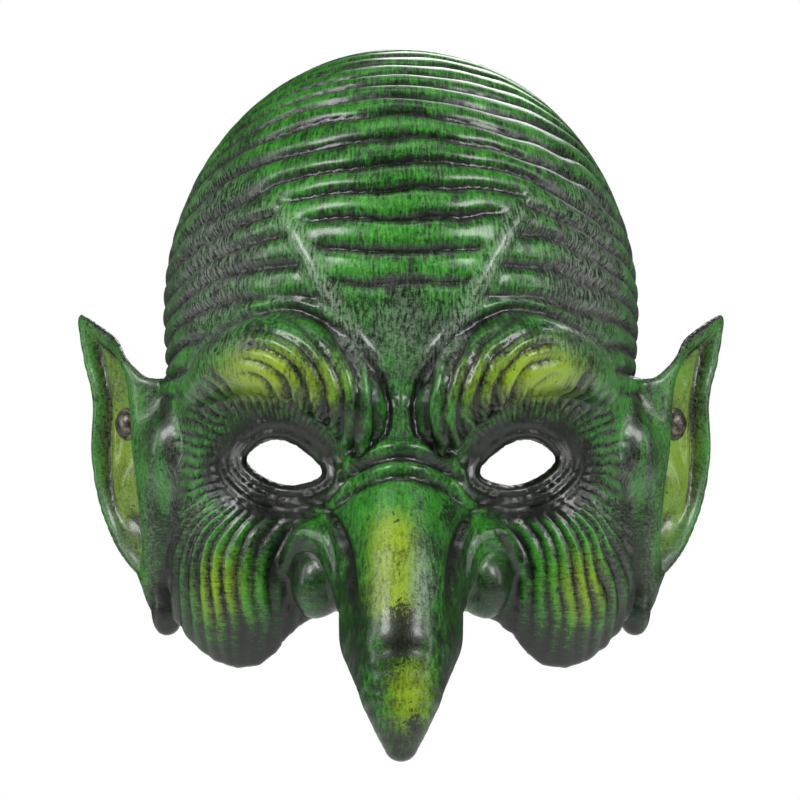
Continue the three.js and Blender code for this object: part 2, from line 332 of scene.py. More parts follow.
def flat_distance(u: Array, v: Array, outline: Array) -> Array:
    """Signed distance in a plane to a closed outline, negative inside.

    Args:
        u: first coordinates.
        v: second coordinates.
        outline: the outline's points, n by 2.

    Returns:
        The distances.
    """
    best = np.full(len(u), 1e6, u.dtype)
    inside = np.zeros(len(u), bool)
    for (ax, ay), (bx, by) in zip(outline, np.roll(outline, -1, axis=0)):
        ex, ey = bx - ax, by - ay
        wx, wy = u - ax, v - ay
        t = np.clip((wx * ex + wy * ey) / max(ex * ex + ey * ey, 1e-9), 0.0, 1.0)
        best = np.minimum(best, (wx - ex * t) ** 2 + (wy - ey * t) ** 2)
        crosses = ((ay > v) != (by > v)) & (wx < ex * wy / (ey if abs(ey) > 1e-9 else 1e-9))
        inside ^= crosses
    return np.where(inside, -1.0, 1.0) * np.sqrt(best)


# ---------------------------------------------------------------- the moulded skin

@dataclass
class Skin:
    """The moulded latex: face, dome, hooked nose and both ears as one thin sculpted skin. Sizes in mm.

    The surface is sculpted as a distance field, because its folds run into each other with no edge
    to extrude or bevel. The wrinkles are then pressed into the mesh along the field's slope.
    The head's masses and rolls are given for +X. The points are folded onto +X before they are measured.
    """

    wall: float = 3.0
    voxel: float = 1.25
    low: tuple[float, float, float] = (-113.75, -146.0, -104.0)
    high: tuple[float, float, float] = (114.0, 20.0, 128.0)
    most_triangles: int = 190_000

    cranium: Mass = Mass((0, 0, 36), (77.5, 95, 86.5))
    midface: Mass = Mass((0, 0, -8), (73, 84, 72))
    muzzle: Mass = Mass((0, -68, -32), (28, 36, 30))
    cheek: Mass = Mass((45, -40, -44), (29.5, 37, 44))
    tragus: Mass = Mass((74.0, -22, -9), (9.5, 11, 14))
    nostril: Mass = Mass((25.5, -82, -48), (8.2, 10.0, 11.0))
    socket: Mass = Mass((37.5, -95, -11.5), (20, 17, 13.5))

    nose_ridge: Roll = Roll(
        ((0, -86, 2), (0, -98, -18), (0, -111, -42), (0, -123, -64), (0, -129, -82), (0, -129, -92.5)),
        (7, 10.5, 13, 13.5, 9.5, 5),
    )
    nose_flank: Roll = Roll(
        ((0, -84, -26), (0, -96, -46), (0, -106, -62), (0, -118, -77)),
        (16, 19, 18.5, 12),
    )
    brow: Roll = Roll(
        ((63, -52, 12), (55, -68, 18), (45, -79, 21), (34, -86, 21),
         (24, -91, 16), (16, -94, 8), (13, -94, 0)),
        (6, 9, 11.5, 13, 12, 10, 7.5),
    )
    nostril_fold: Roll = Roll(
        ((34, -76, -42), (29, -83, -34), (22, -89, -35), (18, -94, -43), (17, -96, -53)),
        (2.5, 4.2, 4.2, 3.6, 2.5),
    )

    eye_hole: tuple[tuple[float, float], ...] = (
        (47.5, -9.5), (40.5, -4.8), (32.5, -6.3), (24.2, -14.2),
        (31.8, -18.0), (39.0, -17.2), (45.5, -13.5),
    )
    back_edge: tuple[tuple[float, float], ...] = (
        (10, 140), (10, 60), (5, 18), (-6, 2), (-8, -38), (-16, -56), (-40, -74), (-60, -90),
        (-60, -140), (80, -140), (80, 140),
    )
    lower_edge: tuple[tuple[float, float], ...] = (
        (0, -57), (22, -58), (29, -60.5), (34.5, -64.5), (39, -70.5), (44, -74.5),
        (51, -75.5), (58, -73.5), (64.5, -69), (71, -62), (84, -52),
    )
    lower_edge_front: float = -86.0

    ear_turn: float = math.radians(45)
    ear_at: float = 89.0
    ear_plate: float = 3.0
    ear_rim: float = 5.5
    ear_fold: float = 10.0
    ear_curl: float = 0.045
    ear_lump: float = 3.6
    lobe: Mass = Mass((76.5, -15, -60), (4.6, 5.0, 8.0))
    rivet_bore: float = 2.1
    hem: float = 1.2
    eye_hem: float = 2.2
    cup: tuple[tuple[float, float], ...] = (
        (20, 36), (17.5, 21), (13, 8), (13.5, -10), (10, -25), (3, -37), (-9, -48), (-15.5, -50),
        (-18, -36), (-17.5, -20), (-15, -8), (-14, 4), (-11.5, 16), (-4, 24), (8, 30.5),
    )
    root: tuple[tuple[float, float], ...] = (
        (20, 36.5), (14, 27), (4, 10), (4, -20), (0, -36), (-11, -50), (-13, -60), (-18, -67), (-24, -65),
        (-30, -50), (-30, 6), (-16, 16.5), (-5, 24.5), (6, 31),
    )

    def ear_axes(self, p: Array) -> tuple[Array, Array, Array]:
        """Turns points into the ear's own axes.

        Args:
            p: points, n by 3, in mm.

        Returns:
            v, in the ear's plane and towards the back; w, out from the plane; and u, up.
        """
        x, y = np.abs(p[:, 0]) - self.ear_at, p[:, 1]
        c, s = math.cos(self.ear_turn), math.sin(self.ear_turn)
        return x * s + y * c, x * c - y * s, p[:, 2]

    def ear_height(self, v: Array, u: Array) -> tuple[Array, Array]:
        """Shapes the ear's middle surface: rolled rim, cup and the lumps in it.

        Args:
            v: how far behind the rivet each point lies, in the ear's plane.
            u: how far above the rivet it lies.

        Returns:
            How far the surface stands off the ear's plane, and the distance inside the cup's outline.
        """
        depth = -flat_distance(v, u, closed_curve(self.cup))
        inner = ramp(v + 0.25 * (u - 20) * (u > 20), 6.0, -10.0)
        rise = self.ear_fold - self.ear_rim
        top = self.ear_rim + rise * inner * ramp(u, -58.0, -20.0) * ramp(u, 40.0, 22.0)
        slope = 9.0 + 1.5 * inner
        lift = np.clip(1.0 - depth / slope, 0.0, 1.0)
        height = top * lift * lift * (3 - 2 * lift)
        outer = 1.0 - inner
        height -= 1.3 * outer * bump(depth - 5.6, 1.3)
        height += 0.9 * outer * bump(depth - 8.4, 1.6)
        height -= self.ear_curl * inner * np.clip(-depth, 0.0, 10.0) ** 2
        lumps = bump(v + 1.0, 5.5) * bump(u + 20.0, 8.0) + 0.6 * bump(v - 3.0, 4.0) * bump(u - 14.0, 7.0)
        return height + self.ear_lump * lumps * ramp(depth, 0.0, 6.0), depth

    def ear(self, p: Array) -> Array:
        """Measures the ear's thin cup, which also spreads to the side of the head.

        Args:
            p: points, n by 3, in mm.

        Returns:
            The signed distances.
        """
        out = np.full(len(p), 40.0, p.dtype)
        near = (np.abs(p[:, 0]) > 60) & (p[:, 1] > -44) & (p[:, 2] > -74) & (p[:, 2] < 44)
        v, w, u = self.ear_axes(p[near])
        height, depth = self.ear_height(v, u)
        spread = np.minimum(-depth, flat_distance(v, u, closed_curve(self.root)))
        steep = 1.0 + 0.35 * ramp(np.abs(depth - 4.5), 4.5, 0.0)
        sheet = np.abs(w - height) / steep - self.ear_plate / 2
        out[near] = smooth_max(sheet, spread, 2.2)
        lobe = self.lobe.distance(mirrored(p).astype(np.float64))
        return smooth_min(out, lobe.astype(p.dtype), 4.0)

    def solid_head(self, p: Array) -> Array:
        """Measures the head with its nose as one solid.

        Args:
            p: points, n by 3, in mm.

        Returns:
            The signed distances.
        """
        q = mirrored(p)
        f = smooth_min(self.cranium.distance(q), self.midface.distance(q), 14.0)
        f = smooth_min(f, self.cheek.distance(q), 9.0)
        f = smooth_min(f, self.muzzle.distance(q), 14.0)
        f = smooth_min(f, self.nose_flank.distance(q), 9.0)
        f = smooth_min(f, self.nose_ridge.distance(q), 7.0)
        f = smooth_max(f, -self.socket.distance(q), 6.0)
        f = smooth_min(f, self.brow.distance(q), 3.5)
        f = smooth_min(f, self.nostril.distance(q), 5.0)
        f = smooth_min(f, self.nostril_fold.distance(q), 3.5)
        return smooth_min(f, self.tragus.distance(q), 6.0)

    def field(self, p: Array) -> Array:
        """Measures the finished skin: walls, trims, eye holes and ears.

        Args:
            p: points, n by 3, in mm.

        Returns:
            The signed distances.
        """
        head = self.solid_head(p)
        hollow = head + self.wall
        ax, y, z = np.abs(p[:, 0]), p[:, 1], p[:, 2]
        back = flat_distance(y, z, np.array(self.back_edge, np.float32))
        edge_x, edge_z = np.array(self.lower_edge, np.float32).T
        under = np.maximum(z - np.interp(ax, edge_x, edge_z).astype(p.dtype), self.lower_edge_front - y)
        f = smooth_max(head, -back, self.hem)
        f = smooth_max(f, -under, self.hem)
        f = smooth_min(f, self.ear(p), 5.0)
        f = np.maximum(f, -hollow)
        hole = np.maximum(flat_distance(ax, z, closed_curve(self.eye_hole)), y + 40.0)
        f = smooth_max(f, -hole, self.eye_hem)
        v, w, u = self.ear_axes(p)
        bore = np.maximum(np.hypot(v, u) - self.rivet_bore, np.abs(w) - 9.0)
        return np.maximum(f, -bore)

    def sample(self) -> tuple[Array, Array]:
        """Samples the field on a grid, in slabs. Returns the grid of values and the lowest corner."""
        axes = [np.arange(a, b, self.voxel, dtype=np.float32) for a, b in zip(self.low, self.high)]
        grid = np.empty([len(a) for a in axes], np.float32)
        yy, zz = np.meshgrid(axes[1], axes[2], indexing="ij")
        for i, x in enumerate(axes[0]):
            p = np.stack([np.full(yy.size, x, np.float32), yy.ravel(), zz.ravel()], axis=1)
            twin = len(axes[0]) - 1 - i
            if twin < i and abs(axes[0][twin] + x) < 1e-4:
                grid[i] = grid[twin]
                continue
            grid[i] = self.field(p).reshape(yy.shape)
        return grid, np.array([a[0] for a in axes], np.float32)


JUST_INSIDE = -0.05


def fill_pinches(grid: Array, rounds: int = 16) -> None:
    """Fills grid points until no two inside points meet only across the diagonal of a square or a cube.

    A surface would touch itself along an edge or at a point there.

    Args:
        grid: the sampled field, changed in place.
        rounds: the most passes to make.
    """
    near, far = slice(0, -1), slice(1, None)
    cubes = [tuple((near, far)[k] for k in corner) for corner in np.ndindex(2, 2, 2)]
    for _ in range(rounds):
        inside = grid < 0
        filled = np.zeros_like(inside)
        for axis in range(3):
            u, v = (i for i in range(3) if i != axis)
            corners = {}
            for a, b in np.ndindex(2, 2):
                pick = [slice(None)] * 3
                pick[u], pick[v] = (near, far)[a], (near, far)[b]
                corners[a, b] = tuple(pick)
            c00, c01, c10, c11 = (inside[corners[k]] for k in ((0, 0), (0, 1), (1, 0), (1, 1)))
            filled[corners[0, 1]] |= c00 & c11 & ~c01 & ~c10
            filled[corners[0, 0]] |= c01 & c10 & ~c00 & ~c11
        count = sum(inside[cube].astype(np.int8) for cube in cubes)
        for i in range(4):
            one, other, beside = cubes[i], cubes[7 - i], cubes[i ^ 1]
            filled[beside] |= inside[one] & inside[other] & (count == 2)
            filled[one] |= ~inside[one] & ~inside[other] & (count == 6)
        filled &= ~inside
        if not filled.any():
            return
        grid[filled] = JUST_INSIDE


def lattice_surface(grid: Array, low: Array, step: float) -> tuple[Array, Array]:
    """Turns a sampled distance field into a closed mesh of quads.

    Args:
        grid: the field's values.
        low: the grid's lowest corner, in mm.
        step: the grid's spacing, in mm.

    Returns:
        The vertices, n by 3, and the quads, m by 4, with their faces outward.
    """
    inside = grid < 0
    shape = np.array(grid.shape) - 1
    total = np.zeros((*shape, 3), np.float32)
    count = np.zeros(tuple(shape), np.float32)
    cells = [slice(0, -1), slice(1, None)]
    for axis in range(3):
        others = [i for i in range(3) if i != axis]
        for a in (0, 1):
            for b in (0, 1):
                pick = [slice(0, -1)] * 3
                pick[others[0]], pick[others[1]] = cells[a], cells[b]
                far = list(pick)
                pick[axis], far[axis] = cells[0], cells[1]
                f0, f1 = grid[tuple(pick)], grid[tuple(far)]
                cut = (f0 < 0) != (f1 < 0)
                t = np.where(cut, f0 / np.where(cut, f0 - f1, 1.0), 0.0)
                total[..., axis] += t
                total[..., others[0]] += cut * a
                total[..., others[1]] += cut * b
                count += cut
    used = count > 0
    index = np.full(tuple(shape), -1, np.int64)
    index[used] = np.arange(int(used.sum()))
    where = np.argwhere(used)
    vertices = low + step * (where + total[used] / count[used][:, None])
    quads = []
    for axis in range(3):
        u, v = (axis + 1) % 3, (axis + 2) % 3
        pick, far = [slice(1, -1)] * 3, [slice(1, -1)] * 3
        pick[axis], far[axis] = slice(0, -1), slice(1, None)
        a, b = inside[tuple(pick)], inside[tuple(far)]
        for cut, forward in ((a & ~b, True), (b & ~a, False)):
            at = np.argwhere(cut)
            base = at + 1
            base[:, axis] -= 1
            ring = []
            for du, dv in ((-1, -1), (0, -1), (0, 0), (-1, 0)):
                cell = base.copy()
                cell[:, u] += du
                cell[:, v] += dv
                ring.append(index[cell[:, 0], cell[:, 1], cell[:, 2]])
            quad = np.stack(ring if forward else ring[::-1], axis=1)
            quads.append(quad)
    return vertices.astype(np.float32), np.vstack(quads)


FAMILIES = {"forehead": 3.0, "brows": 2.2, "crows_feet": 2.0, "cheeks": 1.6, "lids": 2.5}


def pillow(t: Array, family: str) -> Array:
    """A row of soft rolls, one for each whole step of t. Returns 1 on each crest and 0 in each groove."""
    return 1.0 - np.abs(2.0 * (t - np.floor(t)) - 1.0) ** FAMILIES[family]


@dataclass
class Folds:
    """One family of parallel folds: height in mm, phase and share, from 0 to 1, at each point.

    The phase grows by one from groove to groove, so that the paint can follow grooves that are
    finer than the mesh. The share is how strongly the folds show.
    """

    height: Array
    phase: Array
    share: Array


@dataclass
class Wrinkles:
    """The folds pressed into the skin. Sizes in mm and degrees."""

    skin: Skin
    forehead_step: float = 5.9
    rolls_meet: float = 150.0
    brow_step: float = 5.0
    brow_eye: tuple[float, float] = (47.6, 5.2)
    cheek_step: float = 5.1
    lid_step: float = 3.3
    eye_at: tuple[float, float] = (37.0, -11.0)
    crow_step: float = 6.5

    def panel_half(self, z: Array) -> Array:
        """Returns half the width of the forehead's middle panel, which narrows to a V between the brows."""
        return np.clip(8.0 + 0.56 * (z - 15.7), 4.0, 44.0)

    def panel_ridge(self, q: Array) -> Array:
        """Returns the share of the raised line down each side of the middle panel."""
        half = self.panel_half(q[:, 2])
        return bump(q[:, 0] - half - 0.5, 4.0) * ramp(q[:, 2], 12.0, 24.0) * ramp(q[:, 2], 74.0, 58.0)

    def profile_angle(self, y: Array, z: Array) -> Array:
        """Finds where the forehead roll through each point crosses the head's middle line.

        The rolls lie in planes that all pass through one line far behind the head, so they sink
        towards the ears.

        Args:
            y: the points' depth.
            z: the points' height.

        Returns:
            How far up the middle line that is, in degrees about the cranium.
        """
        around = np.radians(np.arange(-40, 101, 2.0))
        (_, _, middle), (_, deep, high) = self.skin.cranium.at, self.skin.cranium.radii
        line_y, line_z = -deep * np.cos(around), middle + high * np.sin(around)
        slope = line_z / (self.rolls_meet - line_y)
        return np.interp(z / (self.rolls_meet - y), slope, np.degrees(np.arctan2(line_z - middle, -line_y)))

    def forehead(self, p: Array, q: Array, brow: Array) -> Folds:
        """Shapes the rolls over the forehead, which run from ear to ear.

        Args:
            p: points, n by 3, in mm.
            q: the same points, folded onto the +X side.
            brow: the points' distance to the brow's roll.

        Returns:
            The folds' height, phase and share at each point.
        """
        ax, y, z = q.T
        angle = self.profile_angle(y, z)
        half = self.panel_half(z)
        high = ramp(z, 66.0, 78.0)
        panel = ramp(ax, half + 1.5, half - 1.5) * (1 - high) + high
        phase = angle / self.forehead_step + 0.25 * ripple(p, 70, 1.0) + 0.07 * ripple(p, 24, 4.0)
        phase += (1 - panel) * 0.45
        lens = 1 - np.clip(ax / half, 0, 1) ** 5 * (1 - high)
        inner = panel * ramp(z, 37.0, 43.0) * lens
        outer = (1 - panel) * ramp(brow, 3.0, 8.0) * ramp(z, 4.0, 16.0)
        ridge = self.panel_ridge(q)
        share = (inner + outer) * ramp(y, 12.0, 6.0) * (1 - ridge)
        height = share * 2.5 * (pillow(phase, "forehead") - 0.72) + 1.8 * ridge
        height -= 0.7 * bump(ax - half - 5.0, 2.0) * ramp(z, 14.0, 24.0) * ramp(z, 70.0, 58.0)
        return Folds(height, phase, share)

    def brows(self, p: Array, q: Array, brow: Array) -> Folds:
        """Shapes the arcs across each brow and the thin lip round it.

        Args:
            p: points, n by 3, in mm.
            q: the same points, folded onto the +X side.
            brow: the points' distance to the brow's roll.

        Returns:
            The folds' height, phase and share at each point.
        """
        ax, _, z = q.T
        arc = np.hypot(ax - self.brow_eye[0], z - self.brow_eye[1])
        phase = arc / self.brow_step + 0.12 * ripple(p, 16, 2.0)
        share = ramp(brow, 2.6, 0.4) * ramp(ax, 51.0, 43.0) * ramp(arc, 6.0, 12.0)
        share *= 0.3 + 0.7 * ramp(z, 31.0, 20.0)
        above = ramp(arc, 15.0, 22.0)
        lip = above * (1.3 * bump(brow - 3.8, 1.2) - 0.9 * bump(brow - 1.7, 1.0))
        return Folds(share * 2.3 * (pillow(phase, "brows") - 0.6) + lip, phase, 0.72 * share)

    def crows_feet(self, p: Array, q: Array, off: Array) -> Folds:
        """Shapes the creases fanned round the outer corner of each eye and over its lid.

        Args:
            p: points, n by 3, in mm.
            q: the same points, folded onto the +X side.
            off: the points' distance to the outline of the eye hole, seen from the front.

        Returns:
            The folds' height, phase and share at each point.
        """
        across, up = q[:, 0] - self.eye_at[0], q[:, 2] - self.eye_at[1]
        reach, turn = np.hypot(across, up), np.degrees(np.arctan2(up, across))
        phase = turn / self.crow_step + 0.24 * ripple(p, 11, 3.0) + 0.02 * reach
        share = ramp(reach, 18.5, 23.0) * ramp(reach, 38.0, 31.0)
        share *= ramp(turn, -40.0, -22.0)
        share *= ramp(turn, 66.0, 50.0)
        share *= ramp(off, 8.5, 12.0)
        lid = ramp(turn, 50.0, 66.0) * ramp(turn, 165.0, 140.0)
        lid = lid * ramp(reach, 11.0, 14.0) * ramp(reach, 25.0, 20.0)
        share += 0.7 * lid * ramp(q[:, 1], -50.0, -60.0)
        return Folds(share * 1.2 * (pillow(phase, "crows_feet") - 0.6), phase, 0.75 * share)

    def lids(self, q: Array, off: Array) -> Folds:
        """Shapes the folds that follow the eye holes.

        Args:
            q: points, folded onto the +X side.
            off: the points' distance to the outline of the eye hole, seen from the front.

        Returns:
            The folds' height, phase and share at each point.
        """
        _, y, z = q.T
        phase = (off - 0.6) / self.lid_step
        lower = ramp(z, -9.0, -14.0) * ramp(off, 13.0, 10.0)
        upper = 0.6 * ramp(z, -9.0, -4.0) * ramp(off, 7.5, 5.0)
        share = (lower + upper) * ramp(off, 0.2, 1.2) * ramp(y, -35.0, -50.0)
        return Folds(share * 1.5 * (pillow(phase, "lids") - 0.55), phase, 0.3 * share)

    def cheeks(self, p: Array, q: Array, off: Array) -> Folds:
        """Shapes the ridges that sweep out from under each eye and then fall down the cheek.

        Args:
            p: points, n by 3, in mm.
            q: the same points, folded onto the +X side.
            off: the points' distance to the outline of the eye hole, seen from the front.

        Returns:
            The folds' height, phase and share at each point.
        """
        ax, y, z = q.T
        sweep = 11.0 * np.exp(np.clip(z + 28.0, -80.0, 6.0) / 9.0)
        sweep += 0.004 * np.clip(-50.0 - z, 0.0, 40.0) ** 2 * (ax - 34.0) / 22.0
        around = 75.0 * np.arcsin(np.clip((ax + sweep) / 88.0, 0.0, 1.0))
        phase = around / self.cheek_step + 0.45 * ripple(p, 46, 7.0) + 0.12 * ripple(p, 17, 2.0)
        share = ramp(off, 10.5, 14.0) * ramp(z, -20.0, -28.0) * ramp(ax, 27.0, 33.0)
        share *= ramp(self.skin.nostril.distance(q), 1.0, 5.0) * ramp(y, 2.0, -8.0) * ramp(ax, 79.0, 74.0)
        share *= (0.12 + 0.88 * ramp(z, -76.0, -54.0)) * (0.8 + 0.2 * ripple(p, 25, 5.0))
        return Folds(share * 1.7 * (pillow(phase, "cheeks") - 0.6), phase, 0.95 * share)

    def nose(self, q: Array) -> tuple[Array, Array]:
        """Shapes the folds over the bridge and beside the nose.

        Args:
            q: points on the outer surface, folded onto the +X side.

        Returns:
            The folds' height in mm, and how dark their grooves are painted: black base and painted shade.
        """
        ax, y, z = q.T
        line = z + 6.0 + 8.0 * (ax / 18.0) ** 2
        bridge = ramp(ax, 22.0, 15.0) * ramp(y, -78.0, -84.0)
        rolls = 1.9 * bump(line, 1.9) - 1.3 * bump(line + 3.1, 1.2) + 1.2 * bump(line + 6.0, 1.6)
        height = bridge * rolls
        height -= bridge * (0.8 * bump(line + 8.8, 1.2) + 0.7 * bump(line - 3.4, 1.3))
        # Painted shade and black base in the grooves of the bridge folds and beside the nose.
        dark = bridge * (0.8 * bump(line + 3.1, 1.1) + 0.6 * bump(line + 8.8, 1.0))
        side = ax - (13.6 + 8.2 * np.exp(np.clip(z + 26.0, -60.0, 5.0) / 8.0))
        down = ramp(z, -20.0, -27.0) * ramp(z, -58.0, -46.0) * ramp(y, -70.0, -80.0)
        height += down * (0.9 * bump(side - 2.6, 1.2) - 1.1 * bump(side, 1.1) - 0.7 * bump(side - 5.0, 1.0))
        return height, 1 - (1 - dark) * (1 - 0.8 * down * bump(side, 1.2))

    def press(self, p: Array) -> tuple[Array, list[Folds], Array]:
        """Works out all the folds.

        Args:
            p: points on the outer surface, in mm.

        Returns:
            The height to move each point outward, in mm; the families of folds, in the order of
            FAMILIES; and how dark the creases beside them are painted, as black base and painted shade.
        """
        q = mirrored(p)
        brow = self.skin.brow.distance(q)
        off = flat_distance(q[:, 0], q[:, 2], closed_curve(self.skin.eye_hole))
        families = [
            self.forehead(p, q, brow),
            self.brows(p, q, brow),
            self.crows_feet(p, q, off),
            self.cheeks(p, q, off),
            self.lids(q, off),
        ]
        nose, dark = self.nose(q)
        arc = np.hypot(q[:, 0] - self.brow_eye[0], q[:, 2] - self.brow_eye[1])
        # A dark line round the brow's lip: painted shade in its crease.
        outline = 0.6 * bump(brow - 1.7, 1.0) * ramp(arc, 15.0, 22.0)
        height = nose + sum(folds.height for folds in families)
        return height, families, 1 - (1 - dark) * (1 - outline)


@dataclass
class PaintZones:
    """Where each colour of the hand painting lies, and where painted shade and painted highlight lie. Sizes
    in mm.
    """

    skin: Skin

    def yellow_and_highlight(self, p: Array, q: Array, ear_depth: Array, ear_front: Array) -> Array:
        """Works out how yellow-green each point is: yellow-green paint, and painted highlight on the brows,
        cheeks, nose ridge and ear bowls.

        Args:
            p: points on the outer surface, in mm.
            q: the same points, folded onto the +X side.
            ear_depth: the distance inside the ear's cup.
            ear_front: 1 on the front of the ears and 0 elsewhere.

        Returns:
            The share of yellow-green, from 0 to 1.
        """
        x, (ax, y, z) = p[:, 0], q.T
        # Yellow-green paint on the tops of the brows, cheeks, nose and ear bowls, where it also stands in
        # as painted highlight.
        brow = 1.1 * bump(ax - 42.0, 14.0) * bump(z - 16.0, 9.0) * ramp(y, -50.0, -60.0)
        inner_brow = 0.45 * bump(ax - 22.0, 9.0) * bump(z - 12.0, 9.0) * ramp(y, -80.0, -86.0)
        cheek = 0.58 * bump(ax - 57.0, 7.0) * bump(z + 50.0, 11.0)
        cheek += 0.2 * bump(ax - 50.0, 16.0) * bump(z + 50.0, 18.0)
        middle = 5.0 * ramp(z, -50.0, -68.0) - 2.5
        along = ramp(z, -18.0, -34.0) * ramp(z, -64.0, -50.0) + 0.8 * bump(z + 77.0, 13.0)
        stripe = bump(x - middle, 7.0) * along
        bowl = ear_front * (0.14 + 0.5 * ramp(ear_depth, 2.5, 7.0) * (0.5 + 0.5 * bump(z + 10.0, 24.0)))
        return np.clip(brow + inner_brow + cheek + stripe * ramp(y, -88.0, -96.0) + bowl, 0.0, 1.0)

    def black_base_and_shade(self, q: Array, on_ear: Array, ear_back: Array) -> Array:
        """Works out how much black shows: partly the black base left bare, partly painted shade in the eye
        sockets, under the brows, in troughs and creases, in the seam by each ear, under the nose tip and
        cheeks, and on the sides turned away from the light.

        Args:
            q: points on the outer surface, folded onto the +X side.
            on_ear: 1 on the ears and 0 elsewhere.
            ear_back: 1 on the back of the ears and 0 elsewhere.

        Returns:
            The share that is black, from 0 to 1.
        """
        ax, y, z = q.T
        # Painted shade as well as black base: eye sockets, under the brows, troughs, cheek bottoms, under
        # the nose tip and the sides turned away.
        front = ramp(y, -40.0, -55.0)
        eye = 0.95 * ramp(np.hypot((ax - 40.0) / 21.5, (z + 13.5) / 15.5), 1.14, 0.84) * front
        under_brow = 0.4 * bump(ax - 44.0, 17.0) * bump(z - 3.0, 5.5) * front
        half = Wrinkles(self.skin).panel_half(z)
        valley = 0.32 * ramp(ax, half + 4, half - 5) * ramp(z, 48.0, 28.0) * ramp(z, -12.0, 2.0)
        beside_brow = 0.3 * bump(self.skin.brow.distance(q) - 1.8, 2.4) * ramp(ax, 45.0, 30.0)
        lobe = 0.12 * ramp(self.skin.nostril.distance(q), 3.5, 0.0)
        trough = 0.45 * bump(ax - 34.0, 5.0) * ramp(z, -34.0, -44.0)
        hem = 0.75 * ramp(z, -54.0, -75.0) * ramp(ax, 26.0, 36.0)
        flank = 0.25 * ramp(ax, 66.0, 76.0) * ramp(y, -30.0, -5.0)
        flank += 0.4 * ramp(y, -10.0, 8.0) * ramp(z, 50.0, 90.0)
        temple = 0.45 * bump(ax - 57.0, 13.0) * bump(z - 46.0, 28.0) + 0.07 * ramp(z, 20.0, 40.0)
        nose_side = 0.22 * bump(ax - 18.0, 5.0) * ramp(z, -26.0, -44.0) * ramp(y, -82.0, -88.0)
        tip = 0.1 * ramp(z, -42.0, -58.0) + 0.3 * ramp(z, -86.0, -96.0)
        tip += 0.12 * ramp(ax, 5.0, 13.0) * ramp(z, -52.0, -64.0)
        tip *= ramp(y, -95.0, -105.0)
        bridge = 0.25 * bump(ax, 20.0) * bump(z + 12.0, 9.0) * ramp(y, -80.0, -86.0)
        ear_seam = 0.75 * bump(ax - 76.5 + 5.0 * bump(z + 25.0, 20.0), 2.2)
        ear_seam = ear_seam * ramp(z, -66.0, -50.0) * ramp(z, 16.0, 6.0) * (y < 0)
        cheek_edge = 0.35 * ramp(ax, 58.0, 72.0) * ramp(z, -20.0, -34.0)
        cheek_edge += 0.2 * ramp(ax, 44.0, 34.0) * ramp(z, -20.0, -34.0)
        face = (ear_seam + cheek_edge + eye + under_brow + valley + beside_brow + lobe
                + trough + hem + flank + temple + nose_side + tip + bridge)
        # The ears darken towards the bottom and at the rim, and their backs are mostly black: black base
        # and painted shade.
        ear = on_ear * (0.14 + 0.3 * ramp(z, -30.0, -62.0) + 0.35 * bump(ax - 79.0, 2.5))
        return np.clip(face * (1 - on_ear) + ear + 0.8 * ear_back, 0.0, 1.0)

    def scuff(self, p: Array) -> Array:
        """Works out where the paint is rubbed down to black in patches.

        Args:
            p: points, n by 3, in mm.

        Returns:
            The share rubbed off, from 0 to 1.
        """
        x, y, z = p.T
        front = ramp(y, -95.0, -102.0)
        middle = bump(x - 0.4, 6.6) * bump(z + 59.5, 9.0)
        tip = 0.7 * bump(x - 3.5, 3.0) * bump(z + 86.0, 5.0)
        bridge = 0.7 * bump(x - 14.5, 4.0) * bump(z + 26.0, 6.0)
        return np.clip((middle + tip) * front + bridge * ramp(y, -80.0, -86.0), 0.0, 1.0)

    def wear_and_highlight(self, p: Array, q: Array) -> Array:
        """Works out where the paint turns grey: rubbed thin, and painted highlight on the panel ridges,
        nose, temples, brow gap and ears.

        Args:
            p: points, n by 3, in mm.
            q: the same points, folded onto the +X side.

        Returns:
            The share rubbed thin, from 0 to 1.
        """
        x, (ax, y, z) = p[:, 0], q.T
        # Grey on the ridges, temples, brow gap and nose: rubbed paint and painted highlight.
        ridge = 0.9 * Wrinkles(self.skin).panel_ridge(q)
        patch = 0.8 * bump(x - 6.0, 4.0) * bump(z + 46.0, 10.0) * ramp(y, -92.0, -98.0)
        temple = 0.9 * bump(ax - 60.0, 15.0) * bump(z - 50.0, 30.0)
        temple += 0.5 * bump(ax - 68.0, 9.0) * bump(z + 18.0, 26.0)
        glabella = 0.7 * bump(ax, 12.0) * bump(z - 28.0, 14.0) * ramp(y, -80.0, -86.0)
        ear = 0.22 * (ax > 79.0) * (y > -45.0)
        return np.clip(ridge + patch + temple + glabella + ear, 0.0, 1.0)

    def crosswise(self, q: Array) -> Array:
        """Returns 1 where the brush went across the face, and 0 where it went up and down."""
        return ramp(q[:, 2], -22.0, -30.0) * ramp(q[:, 0], 22.0, 28.0)


